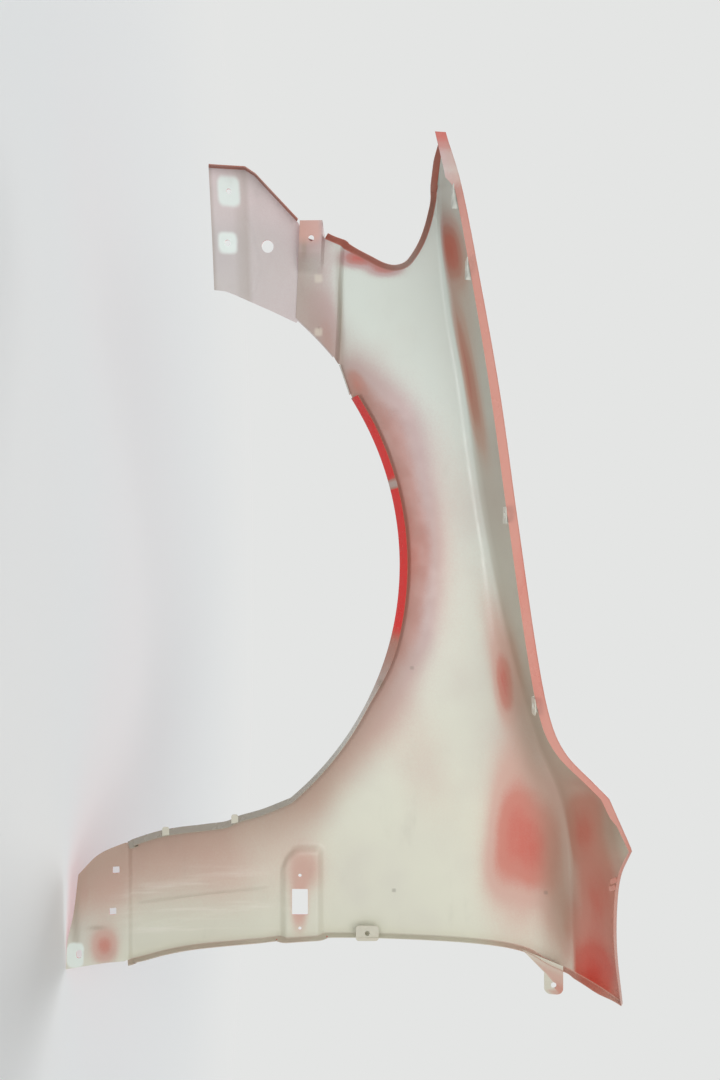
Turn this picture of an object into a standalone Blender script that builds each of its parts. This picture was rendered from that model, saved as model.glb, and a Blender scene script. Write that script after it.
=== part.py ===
# Right-hand front fender of a car, pressed in one piece from steel sheet, with the bumper
# bracket that is spot-welded behind its front flange.
#
# The axes are the car's: +X forward, +Y inboard and +Z up. Everything is drawn from the
# centre of the wheel arch, and a parent empty then brings the rear hood-side bolt tab,
# the seat that the fender is set by, to the origin. What is drawn is the inner face of
# the sheet, and Solidify adds the thickness outside it.

from bisect import bisect_right
from math import atan2, cos, hypot, pi, radians, sin, sqrt

import bmesh
import bpy
from mathutils import Matrix, Vector

# Sheet and fits
SHEET = 0.0008
BRACKET_SHEET = 0.0012
WELD_GAP = 0.0003
FOLD_RADIUS = 0.0015
FOLD_STEPS = 2

# Wheel arch
ARCH_RADIUS = 0.408
ARCH_FRONT_ANGLE = radians(50.0)
ARCH_REAR_ANGLE = radians(52.0)
ARCH_LEG_ANGLE = radians(40.0)
ARCH_LIP = 0.018
ARCH_LIP_LEAN = radians(38)
ARCH_LIP_LEAN_REAR = radians(12)
ARCH_LIP_CHANGE = radians(105)
ARCH_LIP_CHANGE_SPAN = radians(13)
ARCH_LIP_FRONT_ANGLE = radians(57.0)
ARCH_STUB_LIP = 0.007
ARCH_FLARE = 0.006
ARCH_FLARE_WIDTH = 0.075
ARCH_FRONT_X = ARCH_RADIUS * cos(ARCH_FRONT_ANGLE)
ARCH_REAR_X = -ARCH_RADIUS * cos(ARCH_REAR_ANGLE)
ARCH_LIP_FRONT_X = ARCH_RADIUS * cos(ARCH_LIP_FRONT_ANGLE)
LINER_EARS_Z = [0.101, 0.190]
LINER_EAR_WIDTH = 0.009
LINER_EAR_REACH = 0.008

# Curvature of the side: how fast it leans inboard above and below its widest line,
# and how fast the nose turns inboard ahead of the arch centre
WIDEST_Z = 0.22
TUMBLEHOME = 0.16
SILL_TUCK = 0.50
NOSE_START_X = 0.05
NOSE_TURN = 0.42

# Shoulder crease between side and top, as (x, z), and the length of its soft corner,
# as (x, length)
CREASE = [(-0.528, 0.631), (-0.433, 0.628), (-0.369, 0.625), (-0.305, 0.613), (-0.228, 0.583),
          (-0.098, 0.545), (0.022, 0.522), (0.123, 0.505), (0.239, 0.487), (0.326, 0.469),
          (0.418, 0.454), (0.471, 0.451)]
CREASE_SOFTNESS = [(-0.528, 0.012), (-0.40, 0.018), (-0.25, 0.034), (-0.10, 0.030),
                   (0.022, 0.012), (0.30, 0.008), (0.471, 0.004)]
TOP_CROWN = 0.003

# Edge of the top, as (x, y, z): beside the hood, beside the cowl, and up the door pillar
HOOD_EDGE = [(-0.280, 0.113, 0.656), (-0.262, 0.110, 0.638), (-0.230, 0.104, 0.607),
             (-0.195, 0.099, 0.590), (-0.120, 0.097, 0.574), (0.065, 0.103, 0.546),
             (0.210, 0.113, 0.524), (0.350, 0.131, 0.496), (0.450, 0.152, 0.472),
             (0.502, 0.165, 0.453)]
COWL_EDGE = [(-0.338, 0.125, 0.680), (-0.280, 0.113, 0.656)]
PILLAR_EDGE = [(-0.556, 0.055, 0.689), (-0.480, 0.080, 0.675), (-0.420, 0.100, 0.669),
               (-0.372, 0.114, 0.670), (-0.338, 0.125, 0.680)]

# Height of the wall that hangs from that edge, as (x, height)
EDGE_WALL = [(-0.556, 0.005), (-0.338, 0.005), (-0.310, 0.006), (-0.300, 0.010),
             (-0.200, 0.0125), (0.200, 0.0120), (0.444, 0.009), (0.454, 0.017), (0.502, 0.012)]
EDGE_WALL_SLOPE = 0.15

# Headlamp cut, as (x, z) from the bumper corner up to the spike, and the spike's lamp
# side as (x, y, z)
LAMP_CUT = [(0.404, 0.336), (0.390, 0.365), (0.381, 0.384), (0.378, 0.400), (0.382, 0.415),
            (0.392, 0.425), (0.408, 0.435), (0.426, 0.442), (0.446, 0.447), (0.471, 0.451)]
SPIKE_LAMP_SIDE = [(0.471, 0.083, 0.451), (0.488, 0.118, 0.4515), (0.503, 0.150, 0.4525)]
SPIKE_ROOT_HOOD_X = 0.460
LAMP_FLANGE = 0.011
LAMP_FLANGE_LEAN = radians(30)
SPIKE_FLANGE = [(0.446, 0.009), (0.488, 0.008), (0.503, 0.004)]

# Door edge, as (z, x), and its flange
DOOR_EDGE = [(-0.026, -0.523), (0.022, -0.520), (0.054, -0.519), (0.098, -0.510),
             (0.133, -0.505), (0.209, -0.499), (0.275, -0.493), (0.330, -0.490),
             (0.460, -0.491), (0.536, -0.495), (0.577, -0.503), (0.600, -0.516),
             (0.631, -0.528)]
DOOR_FLANGE = 0.013
TAIL_BLEND = 0.03

# Rear leg: its top, its arch side edge from where that leaves the arch's circle, as (share of
# the way down to the foot, distance behind), its bottom edge as (x, z), and the step where
# the sill cover laps over it
LEG_TOP_Z = 0.330
LEG_LEAVES_ARCH_X = -ARCH_RADIUS * cos(ARCH_LEG_ANGLE)
LEG_LEAVES_ARCH_Z = ARCH_RADIUS * sin(ARCH_LEG_ANGLE)
LEG_EDGE = [(0.0, 0.0), (0.136, 0.0145), (0.264, 0.024), (0.308, 0.0295), (0.410, 0.0325),
            (0.612, 0.0385), (0.806, 0.0535), (0.916, 0.0665), (1.0, 0.0895)]
LEG_BOTTOM = [(-0.402, -0.011), (-0.453, -0.017), (-0.486, -0.024), (-0.523, -0.026)]
SILL_STEP_Z = 0.050
SILL_STEP_DEPTH = 0.004
SILL_STEP_WIDTH = 0.006
LEG_BEAD_X = -0.462
LEG_BEAD_WIDTH = 0.034
LEG_BEAD_DEPTH = 0.0015
LEG_BEAD_TOP_Z = 0.235

# Side lamp pocket, pressed inboard, open to the door edge
POCKET_TOP_Z = 0.309
POCKET_BOTTOM_Z = 0.247
POCKET_FRONT_X = -0.371
POCKET_WALL = 0.014
POCKET_DEPTH = 0.008
POCKET_FRONT_ROUND = 0.5
LAMP_HOLE_CENTRE = (-0.446, 0.2755)
LAMP_HOLE_LENGTH = 0.034
LAMP_HOLE_HEIGHT = 0.021
LAMP_SCREW_HOLE = 0.0045
LAMP_SCREW_PITCH = 0.070

# Front flange that the bracket is welded to, with its raised tab
FLANGE_STEP_WIDTH = 0.006
FLANGE_STEP_DEPTH = 0.008
FLANGE_END_Z = 0.280
FLANGE_EDGE_SET_BACK = 0.012
FLANGE_EDGE_RADIUS = ARCH_RADIUS + FLANGE_EDGE_SET_BACK
FLANGE_TOP_SLOPE = 0.4
TAB_SIDE_Z = 0.308
TAB_SIDE_WIDTH = 0.003
TAB_TOP_X = 0.431
TAB_FLAT_X = 0.398
TAB_SLOPE = 0.027
TAB_LIFT = 0.010
TAB_HOLE = 0.007
TAB_HOLE_X = 0.411

# Hood-side bolt tabs, at these x, the rearmost first
HOOD_TABS_X = [-0.168, 0.063, 0.352, 0.431]
HOOD_TAB_LENGTH = 0.020
HOOD_TAB_REACH = 0.024
HOOD_TAB_DROP = 0.004
HOOD_TAB_LAP = 0.003
TAB_BITE = 0.0002
HOOD_TAB_HOLE = 0.008

# Door-side tabs
DOOR_TAB_Z = 0.3645
DOOR_TAB_WIDTH = 0.030
DOOR_TAB_IN = 0.015
DOOR_TAB_OUT = 0.005
DOOR_TAB_HOLE = 0.0065
EAR_Z = 0.6055
EAR_WIDTH = 0.024
EAR_REACH = 0.037
EAR_HOLE = 0.007
EAR_CORNER = 0.008
EAR_GUSSET_REACH = 0.009
EAR_GUSSET_LENGTH = 0.028

# Hooks for the cowl seal, hanging from the pillar edge
SEAL_HOOKS_X = [-0.387, -0.377]
SEAL_HOOK_WIDTH = 0.006
SEAL_HOOK_TOP = 0.002
SEAL_HOOK_LENGTH = 0.014
SEAL_HOOK_SLOPE = 0.52

# Clip and screw holes in the leg, as (x, z)
CLIP_HOLES = [(-0.399, 0.0355), (-0.453, 0.0315)]
CLIP_HOLE_SIDE = 0.0085
LEG_SCREW = (-0.505, -0.010)
LEG_SCREW_WIDTH = 0.0065
LEG_SCREW_LENGTH = 0.0105

# Bumper bracket: ends, bend, outline heads as (z, x), holes as (x, z, diameter)
BRACKET_END_Z = 0.169
BRACKET_LAP = 0.040
BRACKET_OVERHANG = 0.002
BRACKET_BEND_Z = 0.211
BRACKET_BEND = 0.12
BRACKET_TOP = [(0.169, 0.491), (0.213, 0.491), (0.225, 0.484), (0.277, 0.433),
               (0.284, 0.416), (0.320, 0.404)]
BRACKET_FOOT = [(0.169, 0.352), (0.186, 0.350), (0.234, 0.331), (0.273, 0.3135)]
BRACKET_FLANGE = 0.011
BRACKET_FLANGE_STOP = 0.004
BRACKET_FLANGE_LEAN = radians(10)
BRACKET_HOLES = [(0.466, 0.192, 0.006), (0.408, 0.188, 0.007), (0.405, 0.238, 0.015)]

# Mesh rows and columns, and how far a row's top stands ahead of or behind its foot at the
# two ends of the arch
FRONT_ROWS = 9
ARCH_ROWS = 30
REAR_ROWS = 22
FRONT_ROW_LEAN = 0.013
REAR_ROW_LEAN = 0.004
SPIKE_ROWS = 4
SIDE_COLUMNS = 10
TAB_EDGE_ROW = 3
CORNER_COLUMNS = 4
TOP_COLUMNS = 3
LEG_ROWS = [(POCKET_TOP_Z, 2), (POCKET_TOP_Z - POCKET_WALL, 3), (POCKET_BOTTOM_Z + POCKET_WALL, 3),
            (POCKET_BOTTOM_Z, 3), (SILL_STEP_Z + SILL_STEP_WIDTH, 12), (SILL_STEP_Z, 2)]
LEG_FOOT_ROWS = 5
BRACKET_ROWS = 14
BRACKET_COLUMNS = 10
DOOR_STEPS = 40
HOLE_SIDES = 16
CUT_DEPTH = 0.010

PRIMER_GREY = (0.62, 0.63, 0.57, 1.0)
BRACKET_GREY = (0.60, 0.55, 0.55, 1.0)


def mix(a, b, share):
    return a + (b - a) * share


def ease(value, start, end):
    """Rise smoothly from 0 at start to 1 at end."""
    share = min(max((value - start) / (end - start), 0.0), 1.0)
    return share * share * (3 - 2 * share)


def smooth_curve(points):
    """A smooth curve through the points, read by their first coordinate."""
    points = sorted(points)
    last = len(points) - 1

    def slope(index):
        before, after = points[max(index - 1, 0)], points[min(index + 1, last)]
        return [(b - a) / (after[0] - before[0]) for a, b in zip(before[1:], after[1:])]

    def read(at):
        index = min(max(bisect_right([p[0] for p in points], at) - 1, 0), last - 1)
        start, end = points[index], points[index + 1]
        span = end[0] - start[0]
        t = (at - start[0]) / span
        values = []
        for a, b, m, n in zip(start[1:], end[1:], slope(index), slope(index + 1)):
            values.append(a * (1 + 2 * t) * (1 - t) ** 2 + b * t * t * (3 - 2 * t)
                          + span * (m * t * (1 - t) ** 2 + n * t * t * (t - 1)))
        return values if len(values) > 1 else values[0]

    return read


def straight_curve(points):
    """Straight stretches between the points, read by their first coordinate."""
    points = sorted(points)

    def read(at):
        index = bisect_right([p[0] for p in points], at) - 1
        index = min(max(index, 0), len(points) - 2)
        (a, low), (b, high) = points[index], points[index + 1]
        return mix(low, high, min(max((at - a) / (b - a), 0.0), 1.0))

    return read


def by_length(points, share):
    """The point at this share of the length of a polyline."""
    lengths = [(b - a).length for a, b in zip(points, points[1:])]
    left = share * sum(lengths)
    for a, b, length in zip(points, points[1:], lengths):
        if left <= length or b is points[-1]:
            return mix(a, b, min(left / length, 1.0))
        left -= length


crease_z = smooth_curve(CREASE)
crease_softness = straight_curve(CREASE_SOFTNESS)
edge_wall = straight_curve(EDGE_WALL)
spike_flange = straight_curve(SPIKE_FLANGE)
door_x = smooth_curve(DOOR_EDGE)
hood_edge = smooth_curve(HOOD_EDGE)
cowl_edge = smooth_curve(COWL_EDGE)
pillar_edge = smooth_curve(PILLAR_EDGE)
spike_lamp_side = smooth_curve(SPIKE_LAMP_SIDE)
leg_edge_x = smooth_curve([(mix(LEG_LEAVES_ARCH_Z, LEG_BOTTOM[0][1], share), LEG_LEAVES_ARCH_X - behind)
                           for share, behind in LEG_EDGE])
leg_bottom_z = smooth_curve(LEG_BOTTOM)


def top_edge(x):
    """A point of the edge beside hood, cowl and pillar."""
    if x > HOOD_EDGE[0][0]:
        y, z = hood_edge(x)
    elif x > COWL_EDGE[0][0]:
        y, z = cowl_edge(x)
    else:
        y, z = pillar_edge(x)
    return Vector((x, y, z))


def wall_drop(x):
    """The way from the top edge to the foot of its wall."""
    height = edge_wall(x)
    return Vector((0, EDGE_WALL_SLOPE * height, -height))


def pocket_depth(x, z):
    """How far the side lamp pocket stands inboard, with a round front end."""
    middle = (POCKET_TOP_Z + POCKET_BOTTOM_Z) / 2
    half = (POCKET_TOP_Z - POCKET_BOTTOM_Z) / 2
    across = ease(half - abs(z - middle), 0.0, POCKET_WALL)
    front = POCKET_FRONT_X - POCKET_FRONT_ROUND * max(middle - z, 0.0) ** 2 / half
    return POCKET_DEPTH * across * ease(front - x, 0.0, POCKET_WALL)


def leg_relief(x, z):
    """The step for the sill cover and the stiffening bead above it."""
    step = SILL_STEP_DEPTH * ease(SILL_STEP_Z + SILL_STEP_WIDTH - z, 0.0, SILL_STEP_WIDTH)
    across = ease(LEG_BEAD_WIDTH / 2 - abs(x - LEG_BEAD_X), 0.0, LEG_BEAD_WIDTH / 3)
    along = ease(z - SILL_STEP_Z, 0.0, LEG_BEAD_WIDTH)
    along *= ease(LEG_BEAD_TOP_Z - z, 0.0, LEG_BEAD_WIDTH / 2)
    return step + LEG_BEAD_DEPTH * across * along


def plain_depth(x, z):
    """Depth of the side without its flare and pressings."""
    high, low = max(z - WIDEST_Z, 0.0), max(WIDEST_Z - z, 0.0)
    nose = max(x - NOSE_START_X, 0.0)
    return TUMBLEHOME * high ** 2 + SILL_TUCK * low ** 2 + NOSE_TURN * nose ** 2


def side_point(x, z):
    """A point of the side, with the arch flare, the pocket and the leg's pressings."""
    from_edge = hypot(x, z) - ARCH_RADIUS
    flare = ARCH_FLARE * (1 - ease(from_edge, 0.0, ARCH_FLARE_WIDTH))
    flare *= ease(z, LEG_LEAVES_ARCH_Z / 2, LEG_LEAVES_ARCH_Z)
    flare *= ease(ARCH_FRONT_X - x, 0.0, ARCH_FLARE_WIDTH)
    return Vector((x, plain_depth(x, z) - flare + pocket_depth(x, z) + leg_relief(x, z), z))


def arch_z(x):
    """Height of the arch edge, which runs straight into the front flange's step."""
    if x > ARCH_LIP_FRONT_X:
        share = (x - ARCH_LIP_FRONT_X) / (ARCH_FRONT_X - ARCH_LIP_FRONT_X)
        start = sqrt(ARCH_RADIUS ** 2 - ARCH_LIP_FRONT_X ** 2)
        foot = sqrt(FLANGE_EDGE_RADIUS ** 2 - ARCH_FRONT_X ** 2)
        return mix(start, foot, share)
    return sqrt(ARCH_RADIUS ** 2 - x * x)


def upper_rows():
    """Rows from the headlamp cut to the door edge: where each meets the arch side, the
    crease and the top edge, and its shares of the headlamp cut's and door edge's shape."""
    keys = [(LAMP_CUT[0][0], LAMP_CUT[-1][0], SPIKE_ROOT_HOOD_X),
            (ARCH_FRONT_X, ARCH_FRONT_X + FRONT_ROW_LEAN, ARCH_FRONT_X + FRONT_ROW_LEAN),
            (ARCH_REAR_X, ARCH_REAR_X - REAR_ROW_LEAN, ARCH_REAR_X - REAR_ROW_LEAN),
            (door_x(LEG_TOP_Z), CREASE[0][0], PILLAR_EDGE[0][0])]
    rows = []
    for run, count in enumerate((FRONT_ROWS, ARCH_ROWS, REAR_ROWS)):
        for step in range(count if run < 2 else count + 1):
            share = step / count
            xs = [mix(a, b, share) for a, b in zip(keys[run], keys[run + 1])]
            rows.append((xs, 1 - share if run == 0 else 0.0, share if run == 2 else 0.0))
    return rows


def foot_of_row(x):
    """Where an upper row starts: on the cut's foot, on the arch or on top of the leg."""
    if x > ARCH_FRONT_X:
        share = (x - ARCH_FRONT_X) / (LAMP_CUT[0][0] - ARCH_FRONT_X)
        return Vector((x, mix(arch_z(ARCH_FRONT_X), LAMP_CUT[0][1], share)))
    if x >= ARCH_REAR_X:
        return Vector((x, arch_z(x)))
    share = (ARCH_REAR_X - x) / (ARCH_REAR_X - door_x(LEG_TOP_Z))
    return Vector((x, mix(arch_z(ARCH_REAR_X), LEG_TOP_Z, share)))


def bow_of(points, share):
    """How far a curved edge stands off its chord at this share of its length."""
    return by_length(points, share) - mix(points[0], points[-1], share)


def edge_polyline(points, steps=12):
    """A smooth polyline through plane points, by chord steps."""
    ends = [points[0] * 2 - points[1], *points, points[-1] * 2 - points[-2]]
    line = []
    for a, b, c, d in zip(ends, ends[1:], ends[2:], ends[3:]):
        for step in range(steps):
            t = step / steps
            line.append(0.5 * (2 * b + (c - a) * t + (2 * a - 5 * b + 4 * c - d) * t * t
                               + (3 * b - a - 3 * c + d) * t ** 3))
    return line + [points[-1]]


def corner(start, middle, end, share):
    """A soft corner from start to end, drawn towards the middle point."""
    return mix(mix(start, middle, share), mix(middle, end, share), share)


def upper_sections():
    """Points of every row from its foot over the crease to the top edge."""
    cut = edge_polyline([Vector(p) for p in LAMP_CUT])
    door_heights = [mix(LEG_TOP_Z, CREASE[0][1], i / DOOR_STEPS) for i in range(DOOR_STEPS + 1)]
    door = [Vector((door_x(z), z)) for z in door_heights]
    sections = []
    for (foot_x, crease_x, top_x), cut_share, door_share in upper_rows():
        foot = foot_of_row(foot_x)
        peak = Vector((crease_x, crease_z(crease_x)))
        soft = crease_softness(crease_x)

        def side_at(share):
            flat = mix(foot, peak, share)
            flat = flat + bow_of(cut, share) * cut_share + bow_of(door, share) * door_share
            return side_point(flat.x, flat.y)

        peak_point, top = side_at(1.0), top_edge(top_x)
        last_share = 1 - soft / (peak - foot).length
        points = [side_at(last_share * i / SIDE_COLUMNS) for i in range(SIDE_COLUMNS + 1)]
        turned = mix(peak_point, top, min(soft / (top - peak_point).length, 0.5))
        start = points[-1]
        points += [corner(start, peak_point, turned, i / CORNER_COLUMNS)
                   for i in range(1, CORNER_COLUMNS + 1)]
        for i in range(1, TOP_COLUMNS + 1):
            share = i / TOP_COLUMNS
            crown = Vector((0, 0, TOP_CROWN * 4 * share * (1 - share)))
            points.append(mix(turned, top, share) + crown)
        sections.append(points)
    return sections


def spike_sections(root):
    """Rows of the spike between headlamp and hood, from the tip back to its root row."""
    rows = []
    count = len(root) - 1
    for step in range(SPIKE_ROWS):
        share = step / SPIKE_ROWS
        lamp_x = mix(SPIKE_LAMP_SIDE[-1][0], SPIKE_LAMP_SIDE[0][0], share)
        top_x = mix(HOOD_EDGE[-1][0], SPIKE_ROOT_HOOD_X, share)
        y, z = spike_lamp_side(lamp_x)
        lamp = Vector((lamp_x, y, z))
        shift = root[0] - Vector(SPIKE_LAMP_SIDE[0])
        lamp = lamp + shift * share
        top = top_edge(top_x)
        rows.append([mix(lamp, top, i / count)
                     + (root[i] - mix(root[0], root[-1], i / count)) * share
                     for i in range(count + 1)])
    return rows


def leg_sections(columns):
    """Rows of the rear leg, below the row it shares with the upper part, down to its foot."""
    foot_left, foot_right = LEG_BOTTOM[0], LEG_BOTTOM[-1]
    level = LEG_TOP_Z
    rights = []
    for end, count in LEG_ROWS:
        rights += [mix(level, end, (i + 1) / count) for i in range(count)]
        level = end
    rows = []
    start_left = arch_z(ARCH_REAR_X)
    for right_z in rights:
        near_top = (right_z - POCKET_BOTTOM_Z) / (LEG_TOP_Z - POCKET_BOTTOM_Z)
        left_z = right_z - (LEG_TOP_Z - start_left) * max(near_top, 0.0)
        if left_z > LEG_LEAVES_ARCH_Z:
            left_x = -sqrt(ARCH_RADIUS ** 2 - left_z ** 2)
        else:
            left_x = leg_edge_x(left_z)
        left, right = Vector((left_x, left_z)), Vector((door_x(right_z), right_z))
        rows.append([side_point(*mix(left, right, i / columns)) for i in range(columns + 1)])
    for step in range(1, LEG_FOOT_ROWS + 1):
        share = step / LEG_FOOT_ROWS
        left_z = mix(SILL_STEP_Z, foot_left[1], share)
        right_z = mix(SILL_STEP_Z, foot_right[1], share)
        left = Vector((leg_edge_x(left_z), left_z))
        right = Vector((door_x(right_z), right_z))
        points = []
        for i in range(columns + 1):
            flat = mix(left, right, i / columns)
            foot_z = leg_bottom_z(mix(foot_left[0], foot_right[0], i / columns))
            flat.y += share * (foot_z - mix(foot_left[1], foot_right[1], i / columns))
            points.append(side_point(flat.x, flat.y))
        rows.append(points)
    return rows


def flange_lift(x, z):
    """How far the raised tab stands off the front flange."""
    if z > TAB_SIDE_Z:
        return 0.0
    return TAB_LIFT * ease(x, TAB_FLAT_X - TAB_SLOPE, TAB_FLAT_X)


def front_flange_sections(edge):
    """Rows of the front flange, from the step at the panel's front edge to its end."""
    top, foot = edge[0], edge[-1]
    base_z = LAMP_CUT[0][1] - FLANGE_STEP_WIDTH
    levels = [base_z, mix(base_z, TAB_SIDE_Z, 0.5), TAB_SIDE_Z + TAB_SIDE_WIDTH, TAB_SIDE_Z,
              mix(TAB_SIDE_Z, FLANGE_END_Z, 0.5), FLANGE_END_Z]
    rows = []
    for level in levels:
        drop = LAMP_CUT[0][1] - level
        top_x = TAB_TOP_X if level <= TAB_SIDE_Z else top.x + drop * FLANGE_TOP_SLOPE
        foot_z = foot.z - drop
        foot_x = sqrt(FLANGE_EDGE_RADIUS ** 2 - foot_z ** 2)
        points = []
        for i, point in enumerate(edge):
            share = (top.x - point.x) / (top.x - foot.x)
            x, z = mix(top_x, foot_x, share), point.z - drop
            depth = plain_depth(x, z) + FLANGE_STEP_DEPTH + flange_lift(x, level)
            points.append(Vector((x, depth, z)))
        rows.append(points)
    return rows


def add_rows(bm, rows, first=None):
    """Put rows of points in the mesh, joined by four-sided faces, below a first row that
    is already there if one is given."""
    grid = [first] if first else []
    for row in rows:
        grid.append([bm.verts.new(point) for point in row])
    for above, below in zip(grid, grid[1:]):
        join_chains(bm, above, below)
    return grid


def join_chains(bm, first, second):
    for a, b, c, d in zip(first, first[1:], second[1:], second):
        bm.faces.new((a, b, c, d))


def face_outboard(bm, spot):
    """Turn all faces the same way, so that they point outboard at this vertex."""
    bmesh.ops.recalc_face_normals(bm, faces=bm.faces[:])
    bm.normal_update()
    if spot.normal.y > 0:
        bmesh.ops.reverse_faces(bm, faces=bm.faces[:])
        bm.normal_update()


def ways_away(chain):
    """Directions along the sheet that point out of the panel at its edge."""
    ways = []
    for index, vert in enumerate(chain):
        before, after = chain[max(index - 1, 0)], chain[min(index + 1, len(chain) - 1)]
        ways.append((after.co - before.co).cross(vert.normal).normalized())
    return ways


def turned_in(chain, depths, leans):
    """Ways inward from an edge. A lean above zero opens the flange away from the panel, and
    one below zero leans it over the panel."""
    return [depth * (away * sin(lean) - vert.normal * cos(lean))
            for vert, away, depth, lean in zip(chain, ways_away(chain), depths, leans)]


def fold_edge(bm, chain, offsets):
    """Fold a flange from an edge of the sheet with a round bend, each vertex going its own way."""
    peaks = [vert.co.copy() for vert in chain]
    starts = [peak - away * FOLD_RADIUS for peak, away in zip(peaks, ways_away(chain))]
    row = chain
    for step in range(1, FOLD_STEPS + 1):
        points = [corner(start, peak, peak + offset.normalized() * FOLD_RADIUS, step / FOLD_STEPS)
                  for start, peak, offset in zip(starts, peaks, offsets)]
        following = [bm.verts.new(point) for point in points]
        join_chains(bm, following, row)
        row = following
    for vert, start in zip(chain, starts):
        vert.co = start
    join_chains(bm, [bm.verts.new(peak + offset) for peak, offset in zip(peaks, offsets)], row)


def panel_sheet():
    """The inner face of the whole pressing as one open surface."""
    bm = bmesh.new()
    upper = upper_sections()
    upper_grid = add_rows(bm, upper)
    spike_root = upper[0][SIDE_COLUMNS:]
    spike_grid = add_rows(bm, spike_sections(spike_root))
    join_chains(bm, spike_grid[-1], upper_grid[0][SIDE_COLUMNS:])

    leg_top = [row[0] for row in upper_grid[FRONT_ROWS + ARCH_ROWS:]]
    leg_grid = add_rows(bm, leg_sections(REAR_ROWS), leg_top)

    flange_edge = [row[0] for row in upper_grid[:FRONT_ROWS + 1]]
    flange_rows = front_flange_sections([vert.co.copy() for vert in flange_edge])
    flange_grid = add_rows(bm, flange_rows, flange_edge)

    skin_spot = upper_grid[FRONT_ROWS + ARCH_ROWS // 2][SIDE_COLUMNS // 2]
    face_outboard(bm, skin_spot)

    arch = [row[0] for row in upper_grid[FRONT_ROWS:FRONT_ROWS + ARCH_ROWS] + leg_grid][::-1]
    stub = [vert for vert in arch if vert.co.x > ARCH_LIP_FRONT_X]
    depths, leans = [ARCH_STUB_LIP] * len(stub), [-ARCH_LIP_LEAN_REAR] * len(stub)
    fold_edge(bm, stub, turned_in(stub, depths, leans))
    arch = [vert for vert in arch if vert.co.x < ARCH_LIP_FRONT_X and vert.co.z > SILL_STEP_Z]
    leans = []
    for vert in arch:
        angle = atan2(vert.co.z, vert.co.x)
        rear = ease(angle, ARCH_LIP_CHANGE, ARCH_LIP_CHANGE + ARCH_LIP_CHANGE_SPAN)
        leans.append(-mix(ARCH_LIP_LEAN, ARCH_LIP_LEAN_REAR, rear))
    fold_edge(bm, arch, turned_in(arch, [ARCH_LIP] * len(arch), leans))

    lamp_side = [row[0] for row in flange_grid[TAB_EDGE_ROW::-1]]
    lamp_side += upper_grid[0][1:SIDE_COLUMNS + 1] + [row[0] for row in spike_grid[::-1]]
    depths, leans = [LAMP_FLANGE] * len(lamp_side), [LAMP_FLANGE_LEAN] * len(lamp_side)
    offsets = turned_in(lamp_side, depths, leans)
    for index, vert in enumerate(lamp_side):
        hanging = Vector((0, 0, -spike_flange(vert.co.x)))
        on_spike = ease(vert.co.x, SPIKE_FLANGE[0][0], LAMP_CUT[-1][0])
        offsets[index] = mix(offsets[index], hanging, on_spike)
    fold_edge(bm, lamp_side, offsets)

    top_side = [row[-1] for row in spike_grid + upper_grid]
    door_side = upper_grid[-1][:-1][::-1] + [row[-1] for row in leg_grid[1:]]
    door_side = [vert for vert in door_side if vert.co.z > SILL_STEP_Z]
    rim = top_side + door_side
    depths = [edge_wall(vert.co.x) for vert in top_side]
    depths += [mix(depths[-1], DOOR_FLANGE, ease(top_side[-1].co.z - vert.co.z, 0.0, TAIL_BLEND))
               for vert in door_side]
    offsets = turned_in(rim, depths, [0.0] * len(rim))
    for index, vert in enumerate(top_side):
        beside_hood = ease(vert.co.x, COWL_EDGE[0][0], COWL_EDGE[1][0])
        offsets[index] = mix(offsets[index], wall_drop(vert.co.x), beside_hood)
    fold_edge(bm, rim, offsets)
    face_outboard(bm, skin_spot)

    mesh = bpy.data.meshes.new("fender_panel")
    bm.to_mesh(mesh)
    bm.free()
    return mesh


def box(name, low, high, collection, slant=None):
    """A box between two corners, which can slant in Y along an axis, as (axis, slope)."""
    low, high = Vector(low), Vector(high)
    bm = bmesh.new()
    bmesh.ops.create_cube(bm, size=1.0)
    bmesh.ops.scale(bm, vec=high - low, verts=bm.verts[:])
    bmesh.ops.translate(bm, vec=(low + high) / 2, verts=bm.verts[:])
    if slant:
        axis, slope = slant
        middle = (low[axis] + high[axis]) / 2
        for vert in bm.verts:
            vert.co.y += slope * (vert.co[axis] - middle)
    return mesh_object(name, bm, collection)


def plate(name, outline, thickness, collection):
    """A flat plate from an outline of points, thickened towards -Y."""
    bm = bmesh.new()
    face = bm.faces.new([bm.verts.new(point) for point in outline])
    made = bmesh.ops.extrude_face_region(bm, geom=[face])["geom"]
    moved = [item for item in made if isinstance(item, bmesh.types.BMVert)]
    bmesh.ops.translate(bm, vec=(0, -thickness, 0), verts=moved)
    bmesh.ops.recalc_face_normals(bm, faces=bm.faces[:])
    return mesh_object(name, bm, collection)


def arc(centre, radius, start, end):
    """Plane points along an arc."""
    angles = [mix(start, end, step / CORNER_COLUMNS) for step in range(CORNER_COLUMNS + 1)]
    return [(centre[0] + radius * cos(angle), centre[1] + radius * sin(angle)) for angle in angles]


def drill(name, centre, diameter, axis, collection, depth=CUT_DEPTH):
    """A round cutter along Y or Z."""
    bm = bmesh.new()
    turn = Matrix.Rotation(pi / 2, 4, "X") if axis == "Y" else Matrix.Identity(4)
    bmesh.ops.create_cone(bm, cap_ends=True, segments=HOLE_SIDES, radius1=diameter / 2,
                          radius2=diameter / 2, depth=depth, matrix=turn)
    bmesh.ops.translate(bm, vec=Vector(centre), verts=bm.verts[:])
    return mesh_object(name, bm, collection)


def mesh_object(name, bm, collection):
    mesh = bpy.data.meshes.new(name)
    bm.to_mesh(mesh)
    bm.free()
    obj = bpy.data.objects.new(name, mesh)
    collection.objects.link(obj)
    return obj


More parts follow.
